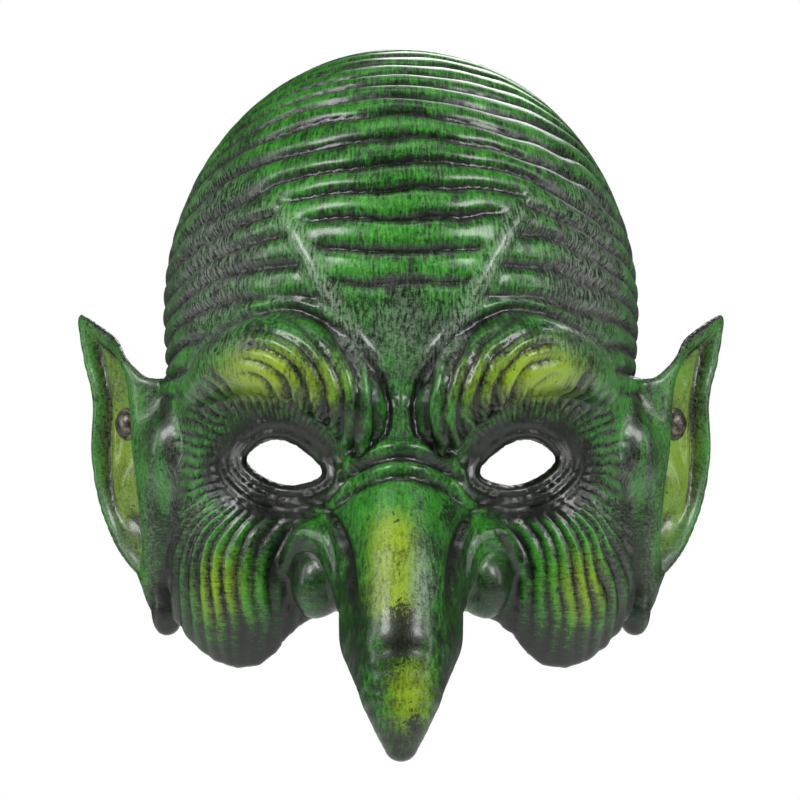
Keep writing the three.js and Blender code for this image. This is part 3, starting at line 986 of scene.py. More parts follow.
@dataclass
class SkinBuilder:
    """Turns the sculpted skin into one finished mesh with its paint zones. Sizes in mm."""

    skin: Skin = field(default_factory=Skin)
    name: str = "latex_skin"
    tallest_fold: float = 1.9

    def slope(self, p: Array, function: Callable[[Array], Array], step: float = 0.25) -> Array:
        """Works out which way a distance field grows fastest.

        Args:
            p: the points, n by 3, in mm.
            function: the distance field.
            step: how far from each point the field is read.

        Returns:
            A unit vector at each point.
        """
        g = np.empty_like(p)
        for axis in range(3):
            shift = np.zeros(3, p.dtype)
            shift[axis] = step
            g[:, axis] = function(p + shift) - function(p - shift)
        return g / np.maximum(np.linalg.norm(g, axis=1, keepdims=True), 1e-6)

    def inner_share(self, p: Array) -> Array:
        """Tells the hollow side of the wall from the outside.

        Args:
            p: points, n by 3, in mm.

        Returns:
            1 on the hollow side and 0 on the outside.
        """
        depth = -self.skin.solid_head(p)
        v, _, u = self.skin.ear_axes(p)
        on_ear = (v > -16.0) & (np.abs(p[:, 0]) > 79.5) & (u < 44.0)
        return ramp(depth, 1.3, 2.2) * ~on_ear

    def net(self) -> bpy.types.Object:
        """Returns the skin's mesh before the folds, thinned on the hidden side. Its vertices are in mm."""
        grid, low = self.skin.sample()
        fill_pinches(grid)
        points, quads = lattice_surface(grid, low, self.skin.voxel)
        step = np.clip(self.skin.field(points), -0.4, 0.4)
        points = points - step[:, None] * self.slope(points, self.skin.field)
        mesh = bpy.data.meshes.new(self.name)
        mesh.from_pydata(points.tolist(), [], quads.tolist())
        obj = from_mesh(self.name, mesh)
        keep_main_piece(obj)
        hidden = np.nonzero(self.inner_share(coordinates(obj)) > 0.9)[0]
        group = obj.vertex_groups.new(name="inside")
        group.add(hidden.tolist(), 1.0, "REPLACE")
        triangles = 2 * len(obj.data.polygons)
        if triangles > self.skin.most_triangles:
            thin = obj.modifiers.new("thin_inside", "DECIMATE")
            thin.ratio = self.skin.most_triangles / triangles
            thin.vertex_group = group.name
            bpy.ops.object.modifier_apply(modifier=thin.name)
        obj.vertex_groups.clear()
        log.info("skin net: %d faces", len(obj.data.polygons))
        return obj

    def build(self) -> bpy.types.Object:
        """Returns the finished skin, in metres, with its folds pressed in and its paint zones stored."""
        obj = self.net()
        mesh = obj.data
        p = coordinates(obj)
        q = mirrored(p)
        inner = self.inner_share(p)
        way = self.slope(p, self.skin.field)
        facing = np.clip((way * self.slope(p, self.skin.solid_head)).sum(axis=1), 0.0, 1.0)
        v, w, u = self.skin.ear_axes(p)
        on_ear = ramp(q[:, 0], 77.0, 81.0) * (q[:, 1] > -45.0)
        lift, depth = self.skin.ear_height(v, u)
        front = on_ear * ramp(w - lift, -0.8, 0.8)
        height, families, dark = Wrinkles(self.skin).press(p)
        pressed = (1 - inner) * ramp(facing, 0.2, 0.7) * (1 - on_ear)
        height = np.clip(height, -self.tallest_fold, self.tallest_fold) * pressed
        mesh.vertices.foreach_set("co", ((p + height[:, None] * way) * MM).astype(np.float32).ravel())
        zones = PaintZones(self.skin)
        for family, folds in zip(FAMILIES, families):
            store(mesh, f"phase_{family}", folds.phase)
            store(mesh, f"fold_{family}", folds.share * pressed)
        # The ears' grooves and the edge of the cup are darkened: painted shade in the creases, with the
        # black base.
        behind = 0.6 * bump(depth - 5.6, 1.0) * ramp(v, 0.0, 5.0)
        before = 0.6 * bump(depth - 9.5, 1.6) * ramp(v, -1.0, -6.0)
        groove = on_ear * (behind + before)
        rim = on_ear * ramp(depth, 1.2, -0.6) * ramp(v, -2.0, 6.0)
        store(mesh, "crease_black_and_shade", np.clip(dark * pressed + groove + 0.55 * rim, 0, 1))
        store(mesh, "yellow_and_highlight", zones.yellow_and_highlight(p, q, depth, front))
        store(mesh, "black_base_and_shade", zones.black_base_and_shade(q, on_ear, on_ear - front))
        store(mesh, "scuff", zones.scuff(p))
        store(mesh, "wear_and_highlight", zones.wear_and_highlight(p, q))
        store(mesh, "crosswise", zones.crosswise(q))
        store(mesh, "brush", (0.6 + 0.4 * ramp(q[:, 2], 25.0, 45.0)) * (1 - on_ear) + 0.2 * on_ear)
        store(mesh, "across", np.where(on_ear > 0.5, v, 95.0 * np.arctan2(p[:, 0], 40.0 - p[:, 1])))
        store(mesh, "inside", inner)
        mesh.update()
        smooth(obj)
        return obj


# ---------------------------------------------------------------- finishes

Socket = bpy.types.NodeSocket
Value = Socket | float
Colour = tuple[float, float, float]


def srgb(red: int, green: int, blue: int) -> Colour:
    """Returns a linear colour from screen values of 0 to 255."""
    shares = (value / 255 for value in (red, green, blue))
    return tuple(s / 12.92 if s <= 0.04045 else ((s + 0.055) / 1.055) ** 2.4 for s in shares)


class Graph:
    """A material's node tree, built with short calls."""

    def __init__(self, name: str) -> None:
        """Starts a material with a principled shader and nothing else."""
        self.material = bpy.data.materials.new(name)
        self.material.use_nodes = True
        self.tree = self.material.node_tree
        self.tree.nodes.clear()
        self.shader = self.tree.nodes.new("ShaderNodeBsdfPrincipled")
        output = self.tree.nodes.new("ShaderNodeOutputMaterial")
        self.tree.links.new(self.shader.outputs["BSDF"], output.inputs["Surface"])
        self.place = self.tree.nodes.new("ShaderNodeTexCoord").outputs["Object"]

    def feed(self, socket: Socket, value: Value) -> None:
        """Links a socket to another, or sets its number.

        Args:
            socket: the input.
            value: the output to link, or the number.
        """
        if isinstance(value, bpy.types.NodeSocket):
            self.tree.links.new(value, socket)
        else:
            socket.default_value = value

    def math(self, operation: str, a: Value, b: Value = 0.0) -> Socket:
        """Adds a sum, product or other operation on one or two values.

        Args:
            operation: Blender's name for it.
            a: the first value.
            b: the second value.

        Returns:
            The result.
        """
        node = self.tree.nodes.new("ShaderNodeMath")
        node.operation = operation
        self.feed(node.inputs[0], a)
        self.feed(node.inputs[1], b)
        return node.outputs[0]

    def total(self, *values: Value) -> Socket:
        """Returns the sum of the values."""
        result = values[0]
        for value in values[1:]:
            result = self.math("ADD", result, value)
        return result

    def scaled(self, value: Value, factor: float, middle: float = 0.0) -> Socket:
        """Returns the value less the middle, times the factor."""
        return self.math("MULTIPLY", self.math("SUBTRACT", value, middle), factor)

    def span(self, value: Value, low: float, high: float,
             to_low: float = 0.0, to_high: float = 1.0) -> Socket:
        """Eases a value from one range to another, and holds it at both ends.

        Args:
            value: the value.
            low: where the first range starts.
            high: where it ends.
            to_low: the result at low.
            to_high: the result at high.

        Returns:
            The eased value.
        """
        node = self.tree.nodes.new("ShaderNodeMapRange")
        node.interpolation_type = "SMOOTHSTEP"
        for socket, number in zip(node.inputs, (value, low, high, to_low, to_high)):
            self.feed(socket, number)
        return node.outputs[0]

    def attribute(self, name: str) -> Socket:
        """Returns a number stored on the mesh."""
        node = self.tree.nodes.new("ShaderNodeAttribute")
        node.attribute_name = name
        return node.outputs["Fac"]

    def vector(self, x: Value, y: Value, z: Value) -> Socket:
        """Returns three values as one vector."""
        node = self.tree.nodes.new("ShaderNodeCombineXYZ")
        for socket, value in zip(node.inputs, (x, y, z)):
            self.feed(socket, value)
        return node.outputs[0]

    def axes(self) -> tuple[Socket, Socket, Socket]:
        """Returns the three object coordinates, in mm."""
        node = self.tree.nodes.new("ShaderNodeSeparateXYZ")
        self.feed(node.inputs[0], self.place)
        return tuple(self.math("MULTIPLY", output, 1 / MM) for output in node.outputs)

    def noise(self, place: Socket, scale: float, detail: float = 3.0, distortion: float = 0.0) -> Socket:
        """Adds soft random values.

        Args:
            place: the coordinates, in metres.
            scale: how many clouds there are in a metre.
            detail: how many finer layers they have.
            distortion: how far they are twisted.

        Returns:
            Values about 0.5.
        """
        node = self.tree.nodes.new("ShaderNodeTexNoise")
        self.feed(node.inputs["Vector"], place)
        node.inputs["Scale"].default_value = scale
        node.inputs["Detail"].default_value = detail
        node.inputs["Distortion"].default_value = distortion
        return node.outputs["Fac"]

    def mix(self, share: Value, a: Socket | Colour, b: Socket | Colour) -> Socket:
        """Blends two colours.

        Args:
            share: 0 for the first, 1 for the second.
            a: the first colour.
            b: the second colour.

        Returns:
            The blended colour.
        """
        node = self.tree.nodes.new("ShaderNodeMix")
        node.data_type = "RGBA"
        self.feed(node.inputs[0], share)
        for socket, colour in ((node.inputs[6], a), (node.inputs[7], b)):
            self.feed(socket, (*colour, 1.0) if isinstance(colour, tuple) else colour)
        return node.outputs[2]

    def bump(self, height: Value, distance: float, strength: float = 1.0,
             after: Socket | None = None) -> Socket:
        """Adds fine relief that the mesh doesn't have.

        Args:
            height: the relief, from 0 to 1.
            distance: how high a relief of 1 stands, in metres.
            strength: how much of it shows.
            after: a normal that already holds coarser relief.

        Returns:
            The normal that shows the relief.
        """
        node = self.tree.nodes.new("ShaderNodeBump")
        node.inputs["Strength"].default_value = strength
        node.inputs["Distance"].default_value = distance
        self.feed(node.inputs["Height"], height)
        if after is not None:
            self.feed(node.inputs["Normal"], after)
        return node.outputs[0]

    def finish(self, colour: Socket | Colour, roughness: Value, normal: Socket | None = None,
               plain: dict[str, float] | None = None) -> bpy.types.Material:
        """Connects the shader.

        Args:
            colour: the base colour.
            roughness: the roughness.
            normal: the normal, where the finish has relief.
            plain: numbers for other sockets of the shader, by their names.

        Returns:
            The material.
        """
        self.feed(self.shader.inputs["Base Color"], (*colour, 1.0) if isinstance(colour, tuple) else colour)
        self.feed(self.shader.inputs["Roughness"], roughness)
        if normal is not None:
            self.feed(self.shader.inputs["Normal"], normal)
        for name, number in (plain or {}).items():
            self.shader.inputs[name].default_value = number
        return self.material


@dataclass(frozen=True)
class LatexPaint:
    """Black latex brushed with green, so that the ridges take the paint and the grooves stay dark, as black
    base left bare and as painted shade.
    """

    base: Colour = srgb(12, 19, 8)
    deep: Colour = srgb(25, 76, 18)
    green: Colour = srgb(46, 126, 30)
    # Lighter green of the crests: dry-brushed paint and painted highlight.
    bright_green_and_highlight: Colour = srgb(84, 172, 54)
    yellow: Colour = srgb(152, 180, 26)
    # Grey of rubbed paint and of the painted highlight; also the chalky bloom of the lining.
    rubbed: Colour = srgb(142, 149, 140)
    lining: Colour = srgb(46, 47, 45)
    broad_stroke: float = 2.4
    fine_stroke: float = 0.55
    stroke_stretch: float = 0.42
    coat: tuple[tuple[str, float], ...] = (
        ("Specular IOR Level", 0.4), ("Coat Weight", 0.45), ("Coat Roughness", 0.2),
    )

    def groove_tone(self, g: Graph) -> Socket:
        """Works out how deep in a groove each point lies, which leaves the grooves dark: black base and
        painted shade.

        Args:
            g: the material.

        Returns:
            1 on every crest and 0 in every groove.
        """
        tone = g.math("SUBTRACT", 1.0, g.attribute("crease_black_and_shade"))
        for family, sharpness in FAMILIES.items():
            phase = g.math("FRACT", g.attribute(f"phase_{family}"))
            away = g.math("ABSOLUTE", g.scaled(phase, 2.0, 0.5))
            dark = g.math("MULTIPLY", g.math("POWER", away, sharpness), g.attribute(f"fold_{family}"))
            tone = g.math("MULTIPLY", tone, g.math("SUBTRACT", 1.0, dark))
        return tone

    def strokes(self, g: Graph, x: Socket, z: Socket, width: float, seed: float) -> Socket:
        """Draws brush marks that cross the folds: up and down on the brow, sideways on the cheeks.

        Args:
            g: the material.
            x: the first object coordinate, in mm.
            z: the height, in mm.
            width: the marks' width, in mm.
            seed: any number; it shifts the marks.

        Returns:
            Values about 0.
        """
        along = self.stroke_stretch / width ** 0.5
        place = g.vector(g.math("DIVIDE", g.attribute("across"), width), g.scaled(z, along / 2), seed)
        upright = g.noise(place, 1.0)
        level = g.noise(g.vector(g.math("DIVIDE", z, width), g.scaled(x, along / 2), seed + 4.0), 1.0)
        share = g.attribute("crosswise")
        both = g.total(g.math("MULTIPLY", level, share),
                       g.math("MULTIPLY", upright, g.math("SUBTRACT", 1.0, share)))
        return g.math("MULTIPLY", g.math("SUBTRACT", both, 0.5), g.attribute("brush"))

    def layers(self, g: Graph, paint_and_painted_light: Socket, broad: Socket, grit: Socket) -> tuple[Socket, Socket]:
        """Lays the greens over the black base, and turns the paint grey where it is rubbed and where a
        highlight is painted.

        Args:
            g: the material.
            paint_and_painted_light: how thickly the paint lies, less the black base and painted shade in
                grooves and hollows, from about 0 to 2.
            broad: the broad brush marks.
            grit: the fine brush marks and specks.

        Returns:
            The colour, and how much of the base is covered.
        """
        # Deep green low on the ramp, towards the grooves; with the black base under it, this is partly
        # painted shade.
        body = g.mix(g.span(paint_and_painted_light, 0.55, 1.1), self.deep, self.green)
        # Lighter green where the paint lies thickest, on the crests: dry-brushed paint and painted
        # highlight.
        body = g.mix(g.span(paint_and_painted_light, 0.95, 1.6, 0.0, 0.85), body, self.bright_green_and_highlight)
        yellow = g.total(g.attribute("yellow_and_highlight"), g.scaled(broad, 0.2), g.scaled(grit, 0.2))
        body = g.mix(g.span(yellow, 0.05, 1.0, 0.0, 0.88), body, self.yellow)
        cover = g.span(paint_and_painted_light, 0.15, 1.0)
        paint = g.mix(cover, self.base, body)
        thin = g.span(g.total(0.5, g.scaled(grit, 0.8)), 0.3, 0.75)
        # Grey streaks where the paint is rubbed, which also stand in as painted highlight on ridges and
        # temples.
        streak = g.math("MULTIPLY", g.attribute("wear_and_highlight"), thin)
        return g.mix(g.scaled(streak, 0.85), paint, self.rubbed), cover

    def relief(self, g: Graph, tone: Socket, broad: Socket, fine: Socket) -> Socket:
        """Adds the grooves, brush marks, pores and grain that are finer than the mesh.

        Args:
            g: the material.
            tone: 1 on the crests and 0 in the grooves.
            broad: the broad brush marks.
            fine: the fine brush marks.

        Returns:
            The normal that shows them.
        """
        normal = g.bump(tone, 0.35 * MM)
        normal = g.bump(g.total(g.scaled(fine, 0.6), g.scaled(broad, 0.4)), 0.16 * MM, 1.0, normal)
        for scale, detail, height in ((1000.0, 4.0, 0.11), (2700.0, 2.0, 0.1)):
            normal = g.bump(g.noise(g.place, scale, detail), height * MM, 1.0, normal)
        return normal

    def build(self) -> bpy.types.Material:
        """Returns the skin's material."""
        g = Graph("painted_latex")
        x, _, z = g.axes()
        tone = self.groove_tone(g)
        broad = self.strokes(g, x, z, self.broad_stroke, 1.0)
        fine = self.strokes(g, x, z, self.fine_stroke, 9.0)
        cloud = g.noise(g.place, 70.0, 4.0)
        speck = g.noise(g.place, 900.0, 4.0, 0.4)
        dust = g.noise(g.place, 2100.0, 2.0)
        black_base_and_shade, inside = g.attribute("black_base_and_shade"), g.attribute("inside")
        grit = g.total(g.scaled(fine, 1.7), g.scaled(speck, 0.8, 0.5), g.scaled(dust, 0.6, 0.5))
        # The groove tone and the black zones take paint away: black base left bare, and painted shade in
        # grooves and hollows.
        paint_and_painted_light = g.total(tone, g.scaled(broad, 0.9), g.scaled(cloud, 1.2, 0.5), grit, g.scaled(black_base_and_shade, -0.92))
        paint, cover = self.layers(g, paint_and_painted_light, broad, grit)
        torn = g.total(g.attribute("scuff"), g.scaled(speck, 2.0, 0.5), g.scaled(fine, 0.8))
        paint = g.mix(g.span(torn, 0.42, 0.55, 0.0, 0.93), paint, self.base)
        dots = g.total(g.noise(g.place, 330.0, 2.0), g.scaled(cloud, 0.25, 0.5))
        paint = g.mix(g.span(dots, 0.70, 0.73, 0.0, 0.8), paint, self.base)
        chalk = g.noise(g.place, 180.0, 5.0)
        lining = g.mix(g.span(chalk, 0.45, 0.75, 0.0, 0.45), self.lining, self.rubbed)
        colour = g.mix(inside, paint, lining)
        gloss = g.total(g.scaled(speck, 0.34, 0.5), g.scaled(cover, 0.05), 0.30)
        rough = g.total(gloss, g.scaled(inside, 0.3), g.scaled(black_base_and_shade, 0.08))
        return g.finish(colour, rough, self.relief(g, tone, broad, fine), dict(self.coat))


@dataclass(frozen=True)
class DullMetal:
    """The rivets' browned metal: pitted, with brighter rubbed spots."""

    dark: Colour = srgb(74, 68, 62)
    light: Colour = srgb(142, 134, 126)

    def build(self) -> bpy.types.Material:
        """Returns the rivets' material."""
        g = Graph("browned_rivet_metal")
        cloud, fine = g.noise(g.place, 420.0, 4.0), g.noise(g.place, 2600.0, 3.0)
        colour = g.mix(g.span(g.total(cloud, g.scaled(fine, 0.4, 0.5)), 0.35, 0.7), self.dark, self.light)
        rough = g.span(fine, 0.3, 0.7, 0.28, 0.5)
        return g.finish(colour, rough, g.bump(fine, 0.05 * MM), {"Metallic": 0.9})


@dataclass(frozen=True)
class WovenElastic:
    """Black knitted elastic: cords along the band, and the knit's small V marks. Sizes in mm."""

    cord: float = 1.0
    knit: float = 0.9
    dark: Colour = srgb(18, 18, 19)
    light: Colour = srgb(58, 58, 60)

    def build(self) -> bpy.types.Material:
        """Returns the elastic's material, which reads the mesh's own along and side values."""
        g = Graph("knitted_elastic")
        along, side = g.attribute("along"), g.attribute("side")
        row = g.math("FRACT", g.math("DIVIDE", side, self.cord))
        lean = g.math("ABSOLUTE", g.scaled(row, 1.0, 0.5))
        turns = g.math("DIVIDE", g.math("ADD", along, g.scaled(lean, 1.1)), self.knit)
        wave = g.math("SINE", g.scaled(turns, 2 * math.pi))
        yarn = g.span(wave, -0.8, 0.9)
        ribs = g.span(lean, 0.5, 0.12)
        height = g.total(g.scaled(ribs, 0.6), g.math("MULTIPLY", g.scaled(yarn, 0.4), ribs))
        fuzz = g.noise(g.place, 3200.0, 3.0)
        # The raised cords are painted lighter and the grooves between them darker: painted highlight and
        # painted shade, with random fuzz.
        share = g.total(g.scaled(height, 0.75), g.scaled(fuzz, 0.5, 0.5))
        colour = g.mix(g.span(share, 0.1, 1.0), self.dark, self.light)
        normal = g.bump(fuzz, 0.05 * MM, 0.7, g.bump(height, 0.22 * MM))
        return g.finish(colour, g.span(fuzz, 0.3, 0.7, 0.68, 0.9), normal,
                        {"Sheen Weight": 0.35, "Sheen Roughness": 0.5, "Specular IOR Level": 0.3})


@dataclass(frozen=True)
class MouldedPlastic:
    """Black moulded nylon with a fine spark texture and faint rubbing."""

    dark: Colour = srgb(20, 20, 21)
    light: Colour = srgb(46, 46, 48)

    def build(self) -> bpy.types.Material:
        """Returns the buckle and keeper's material."""
        g = Graph("moulded_nylon")
        spark, cloud = g.noise(g.place, 2400.0, 2.0), g.noise(g.place, 240.0, 4.0)
        colour = g.mix(g.span(cloud, 0.4, 0.75), self.dark, self.light)
        return g.finish(colour, g.span(spark, 0.3, 0.7, 0.36, 0.54), g.bump(spark, 0.045 * MM))


@dataclass(frozen=True)
class SewingThread:
    """Dark grey polyester thread."""

    colour: Colour = srgb(70, 70, 72)
    shade: Colour = srgb(34, 34, 36)

    def build(self) -> bpy.types.Material:
        """Returns the stitches' material, with the thread's twist as fine slanted lines."""
        g = Graph("sewing_thread")
        x, y, z = g.axes()
        twist = g.math("SINE", g.scaled(g.total(x, y, z), 2 * math.pi / 0.35))
        colour = g.mix(g.span(twist, -1.0, 1.0), self.shade, self.colour)
        return g.finish(colour, 0.6, g.bump(twist, 0.03 * MM), {"Sheen Weight": 0.3})


@dataclass(frozen=True)
class StudioWhite:
    """The plain matt floor."""

    colour: Colour = (0.92, 0.92, 0.92)

    def build(self) -> bpy.types.Material:
        """Returns the floor's material."""
        g = Graph("studio_white")
        return g.finish(self.colour, 0.9, None, {"Specular IOR Level": 0.1})


# ---------------------------------------------------------------- the rivets

class Side(Enum):
    """The two sides of the mask as seen from the front, as the sign of X.

    The wearer's own left is on +X.
    """

    LEFT = -1
    RIGHT = 1

    @property
    def word(self) -> str:
        """Returns the side's name in lower case."""
        return self.name.lower()


@dataclass
class Rivets:
    """The two rivets: a domed cap in each ear, and a washer and base ring behind it. Sizes in mm.

    Each is turned about the rivet's own axis, w, which stands square to the ear.
    """

    metal: bpy.types.Material
    ear_turn: float = 45.0
    at: float = 89.0
    cap: float = 5.3
    dome: float = 2.7
    lip: float = 0.9
    post: float = 1.5
    front: float = 1.6
    washer: tuple[float, float, float] = (6.5, -3.8, 0.8)
    base: tuple[float, float, float] = (5.0, -4.9, 1.4)
    steps: int = 56
    edge: float = 0.45
    washer_edge: float = 0.3
    base_edge: float = 0.55
    weld: float = 0.001
    sharp: float = math.radians(40)

    def place(self, side: Side) -> Matrix:
        """Works out where a rivet goes.

        Args:
            side: which side of the face it is on.

        Returns:
            The place of the rivet's w axis, which is modelled as +Z.
        """
        turn = math.radians(self.ear_turn)
        way = Vector((side.value * math.cos(turn), -math.sin(turn), 0))
        aim = way.to_track_quat("Z", "Y").to_matrix().to_4x4()
        return Matrix.Translation((side.value * self.at, 0, 0)) @ aim

    def spin(self, name: str, profile: list[tuple[float, float]], side: Side) -> bpy.types.Object:
        """Spins a closed or axis-to-axis profile of (radius, w) into a solid.

        Args:
            name: the piece's name.
            profile: the outline, in mm.
            side: which side of the face it goes on.

        Returns:
            The piece, in its place.
        """
        mesh = bpy.data.meshes.new(name)
        points = [(r, 0.0, w) for r, w in profile]
        mesh.from_pydata(points, [(i, i + 1) for i in range(len(points) - 1)], [])
        obj = from_mesh(name, mesh)
        select(obj)
        bpy.ops.object.mode_set(mode="EDIT")
        bpy.ops.mesh.select_all(action="SELECT")
        bpy.ops.mesh.spin(steps=self.steps, angle=2 * math.pi, center=(0, 0, 0), axis=(0, 0, 1))
        bpy.ops.object.mode_set(mode="OBJECT")
        face_outward(obj, self.weld)
        settle(obj, self.place(side))
        bpy.ops.object.shade_smooth_by_angle(angle=self.sharp)
        obj.data.materials.append(self.metal)
        return obj

    def arc(self, at: tuple[float, float], radius: float, start: float, end: float,
            steps: int = 6) -> list[tuple[float, float]]:
        """Rounds a corner of a profile.

        Args:
            at: the arc's middle, as (radius, w).
            radius: the arc's own radius.
            start: the angle it starts at, in degrees from +r towards +w.
            end: the angle it ends at.
            steps: how many stretches it has.

        Returns:
            The arc's points.
        """
        angles = [math.radians(start + (end - start) * i / steps) for i in range(steps + 1)]
        return [(at[0] + radius * math.cos(a), at[1] + radius * math.sin(a)) for a in angles]

    def cap_profile(self) -> list[tuple[float, float]]:
        """Returns the cap's outline: post, flange with a rolled edge, shallow ring and low dome."""
        end = self.base[1] - self.base[2] - 0.2
        top = self.front + self.lip
        edge = self.edge
        points = [(0.0, end - 0.25), *self.arc((self.post - 0.1, end), edge, -90, 0, 4)]
        points += [(self.post, end + 0.4), (self.post, self.front)]
        points += self.arc((self.cap - edge, self.front + edge), edge, -80, 90, 8)
        points.append((self.cap - 0.9, top - 0.05))
        foot, rise = self.cap - 1.15, top + 0.05
        points.append((foot, rise))
        steps = 12
        for i in range(1, steps + 1):
            angle = math.radians(90 * i / steps)
            points.append((foot * math.cos(angle), rise + self.dome * math.sin(angle)))
        points[-1] = (0.0, points[-1][1])
        return points

    def ring_profile(self, outer: float, face: float, thick: float,
                     edge: float) -> list[tuple[float, float]]:
        """Draws a flat ring with rounded outer edges.

        Args:
            outer: its outer radius.
            face: where its front face lies along w.
            thick: its thickness.
            edge: the radius of its outer edges.

        Returns:
            The closed outline.
        """
        hole, low = self.post + 0.25, face - thick
        points = [(hole, low), *self.arc((outer - edge, low + edge), edge, -90, 0, 4)]
        points += [*self.arc((outer - edge, face - edge), edge, 0, 90, 4), (hole, face), (hole, low)]
        return points

    def build(self) -> list[bpy.types.Object]:
        """Builds all six pieces, and returns them."""
        made = []
        for side in Side:
            shapes = {
                "cap": self.cap_profile(),
                "washer": self.ring_profile(*self.washer, self.washer_edge),
                "base": self.ring_profile(*self.base, self.base_edge),
            }
            for part, profile in shapes.items():
                obj = self.spin(f"{side.word}_rivet_{part}_turned", profile, side)
                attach(obj, "mask")
                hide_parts(f"{side.word}_rivet_{part}")
                made.append(obj)
        return made


# ---------------------------------------------------------------- the strap

@dataclass
class StrapRoute:
    """The elastic's route, seen from above. Sizes in mm.

    The strap is doubled along the right run: a layer either side of the run's middle line. The whole loop
    behind the ears rises towards the back; the flexing stretch beside each rivet eases into that tilt.
    """

    thick: float = 1.6
    width: float = 16.0
    tilt: float = math.radians(3.5)
    start: tuple[float, float] = (91.6, 19.0)
    lean: float = math.radians(6)
    layer: float = 1.0
    bar_radius: float = 1.2
    gap: float = 0.3
    first_bar: float = 9.0
    pitch: float = 7.0
    tail_end: float = 54.0
    back: float = 105.0
    rivet_at: float = 89.0
    ear_turn: float = math.radians(45)
    end_depth: float = -2.7
    flex: tuple[float, float] = (7.0, 19.5)
    clamped: tuple[float, ...] = (-7.5, 0.0, 7.0)

    def on_run(self, along: float, out: float) -> tuple[float, float]:
        """Returns the plan point that far along the right run, and out from its middle line."""
        s, c = math.sin(self.lean), math.cos(self.lean)
        return self.start[0] - along * s + out * c, self.start[1] + along * c + out * s

    def on_end(self, v: float) -> tuple[float, float]:
        """Returns the plan point of the clamped end that lies v behind the right rivet."""
        s, c = math.sin(self.ear_turn), math.cos(self.ear_turn)
        return self.rivet_at + self.end_depth * c + v * s, -self.end_depth * s + v * c

    def round_bar(self, bar: float, towards: int) -> list[tuple[float, float]]:
        """Draws the half turn round a bar of the buckle.

        Args:
            bar: how far along the run the bar lies.
            towards: +1 when the turn opens along the run, else -1.

        Returns:
            The turn's plan points.
        """
        radius = self.bar_radius + self.gap + self.thick / 2
        angles = [math.pi * (i / 14 - 0.5) for i in range(15)]
        return [self.on_run(bar - towards * radius * math.cos(a), radius * math.sin(a)) for a in angles]

    def flexing(self) -> list[tuple[float, float]]:
        """Returns the two plan points of the stretch that bends, from the clamped end to the run."""
        return [self.on_end(10.0), self.on_run(-4.5, -self.layer * 0.9)]

    def right_end(self) -> list[tuple[float, float]]:
        """Returns the route of the short tab: clamped end, flexing stretch, first bar and back."""
        inner, outer = -self.layer, self.layer
        return [*[self.on_end(v) for v in self.clamped], *self.flexing(), self.on_run(0, inner),
                self.on_run(3.6, inner), *self.round_bar(self.first_bar, -1),
                self.on_run(3.6, outer), self.on_run(0.4, outer)]

    def long_band(self) -> list[tuple[float, float]]:
        """Returns the long band's route: tail, middle bar, right run, round the head, left end."""
        apart = self.bar_radius + self.gap + self.thick / 2
        past = self.first_bar + 2 * self.pitch + 2 * self.bar_radius
        stops = (self.tail_end, self.tail_end - 8, past + 5)
        tail = [self.on_run(d, self.layer) for d in stops]
        turn = self.round_bar(self.first_bar + self.pitch, 1)[::-1]
        leave = [self.on_run(d, -self.layer) for d in stops[::-1]]
        corner, handle = leave[-1], self.on_run(self.tail_end + 26, -self.layer)
        quarter = [corner, handle, (corner[0] * 0.55, self.back), (0.0, self.back)]
        curve = [self.bezier(quarter, i / 24) for i in range(1, 25)]
        right = [*tail, self.on_run(past, apart), *turn, self.on_run(past, -apart), *leave, *curve]
        left = [*curve[:-1][::-1], corner, *[self.on_run(d, -self.layer) for d in (44, 30, 16, 6, 0)],
                *self.flexing()[::-1], *[self.on_end(v) for v in self.clamped[::-1]]]
        return [*right, *[(-x, y) for x, y in left]]

    def bezier(self, corners: list[tuple[float, float]], t: float) -> tuple[float, float]:
        """Returns a point of a cubic curve."""
        shares = ((1 - t) ** 3, 3 * t * (1 - t) ** 2, 3 * t * t * (1 - t), t**3)
        return tuple(sum(s * corner[k] for s, corner in zip(shares, corners)) for k in (0, 1))

    def smoothed(self, points: list[tuple[float, float]], step: float) -> Array:
        """Cuts a route's corners and spaces its points evenly.

        Args:
            points: the route, seen from above.
            step: the distance between points.

        Returns:
            The points, n by 2.
        """
        line = np.array(points)
        for _ in range(2):
            near, far = line[:-1] * 0.75 + line[1:] * 0.25, line[:-1] * 0.25 + line[1:] * 0.75
            line = np.vstack([line[:1], np.stack([near, far], axis=1).reshape(-1, 2), line[-1:]])
        gaps = np.hypot(*np.diff(line, axis=0).T)
        reach = np.concatenate([[0.0], np.cumsum(gaps)])
        even = np.linspace(0.0, reach[-1], max(2, round(reach[-1] / step)) + 1)
        return np.column_stack([np.interp(even, reach, line[:, 0]), np.interp(even, reach, line[:, 1])])

    def raise_up(self, points: Array) -> Array:
        """Tilts points about the line through the rivets, as far as the loop is tilted there.

        Args:
            points: points, n by 3, in mm.

        Returns:
            The tilted points.
        """
        x, y, z = points.T
        angle = self.tilt * ramp(y, *self.flex)
        c, s = np.cos(angle), np.sin(angle)
        return np.column_stack([x, y * c - z * s, y * s + z * c])

    def on_loop(self, along: float, out: float = 0.0) -> Matrix:
        """Returns the place of a piece on the right run: its Y along the run, X out from it, Z up."""
        x, y = self.on_run(along, out)
        return (Matrix.Rotation(self.tilt, 4, "X") @ Matrix.Translation((x, y, 0))
                @ Matrix.Rotation(self.lean, 4, "Z"))


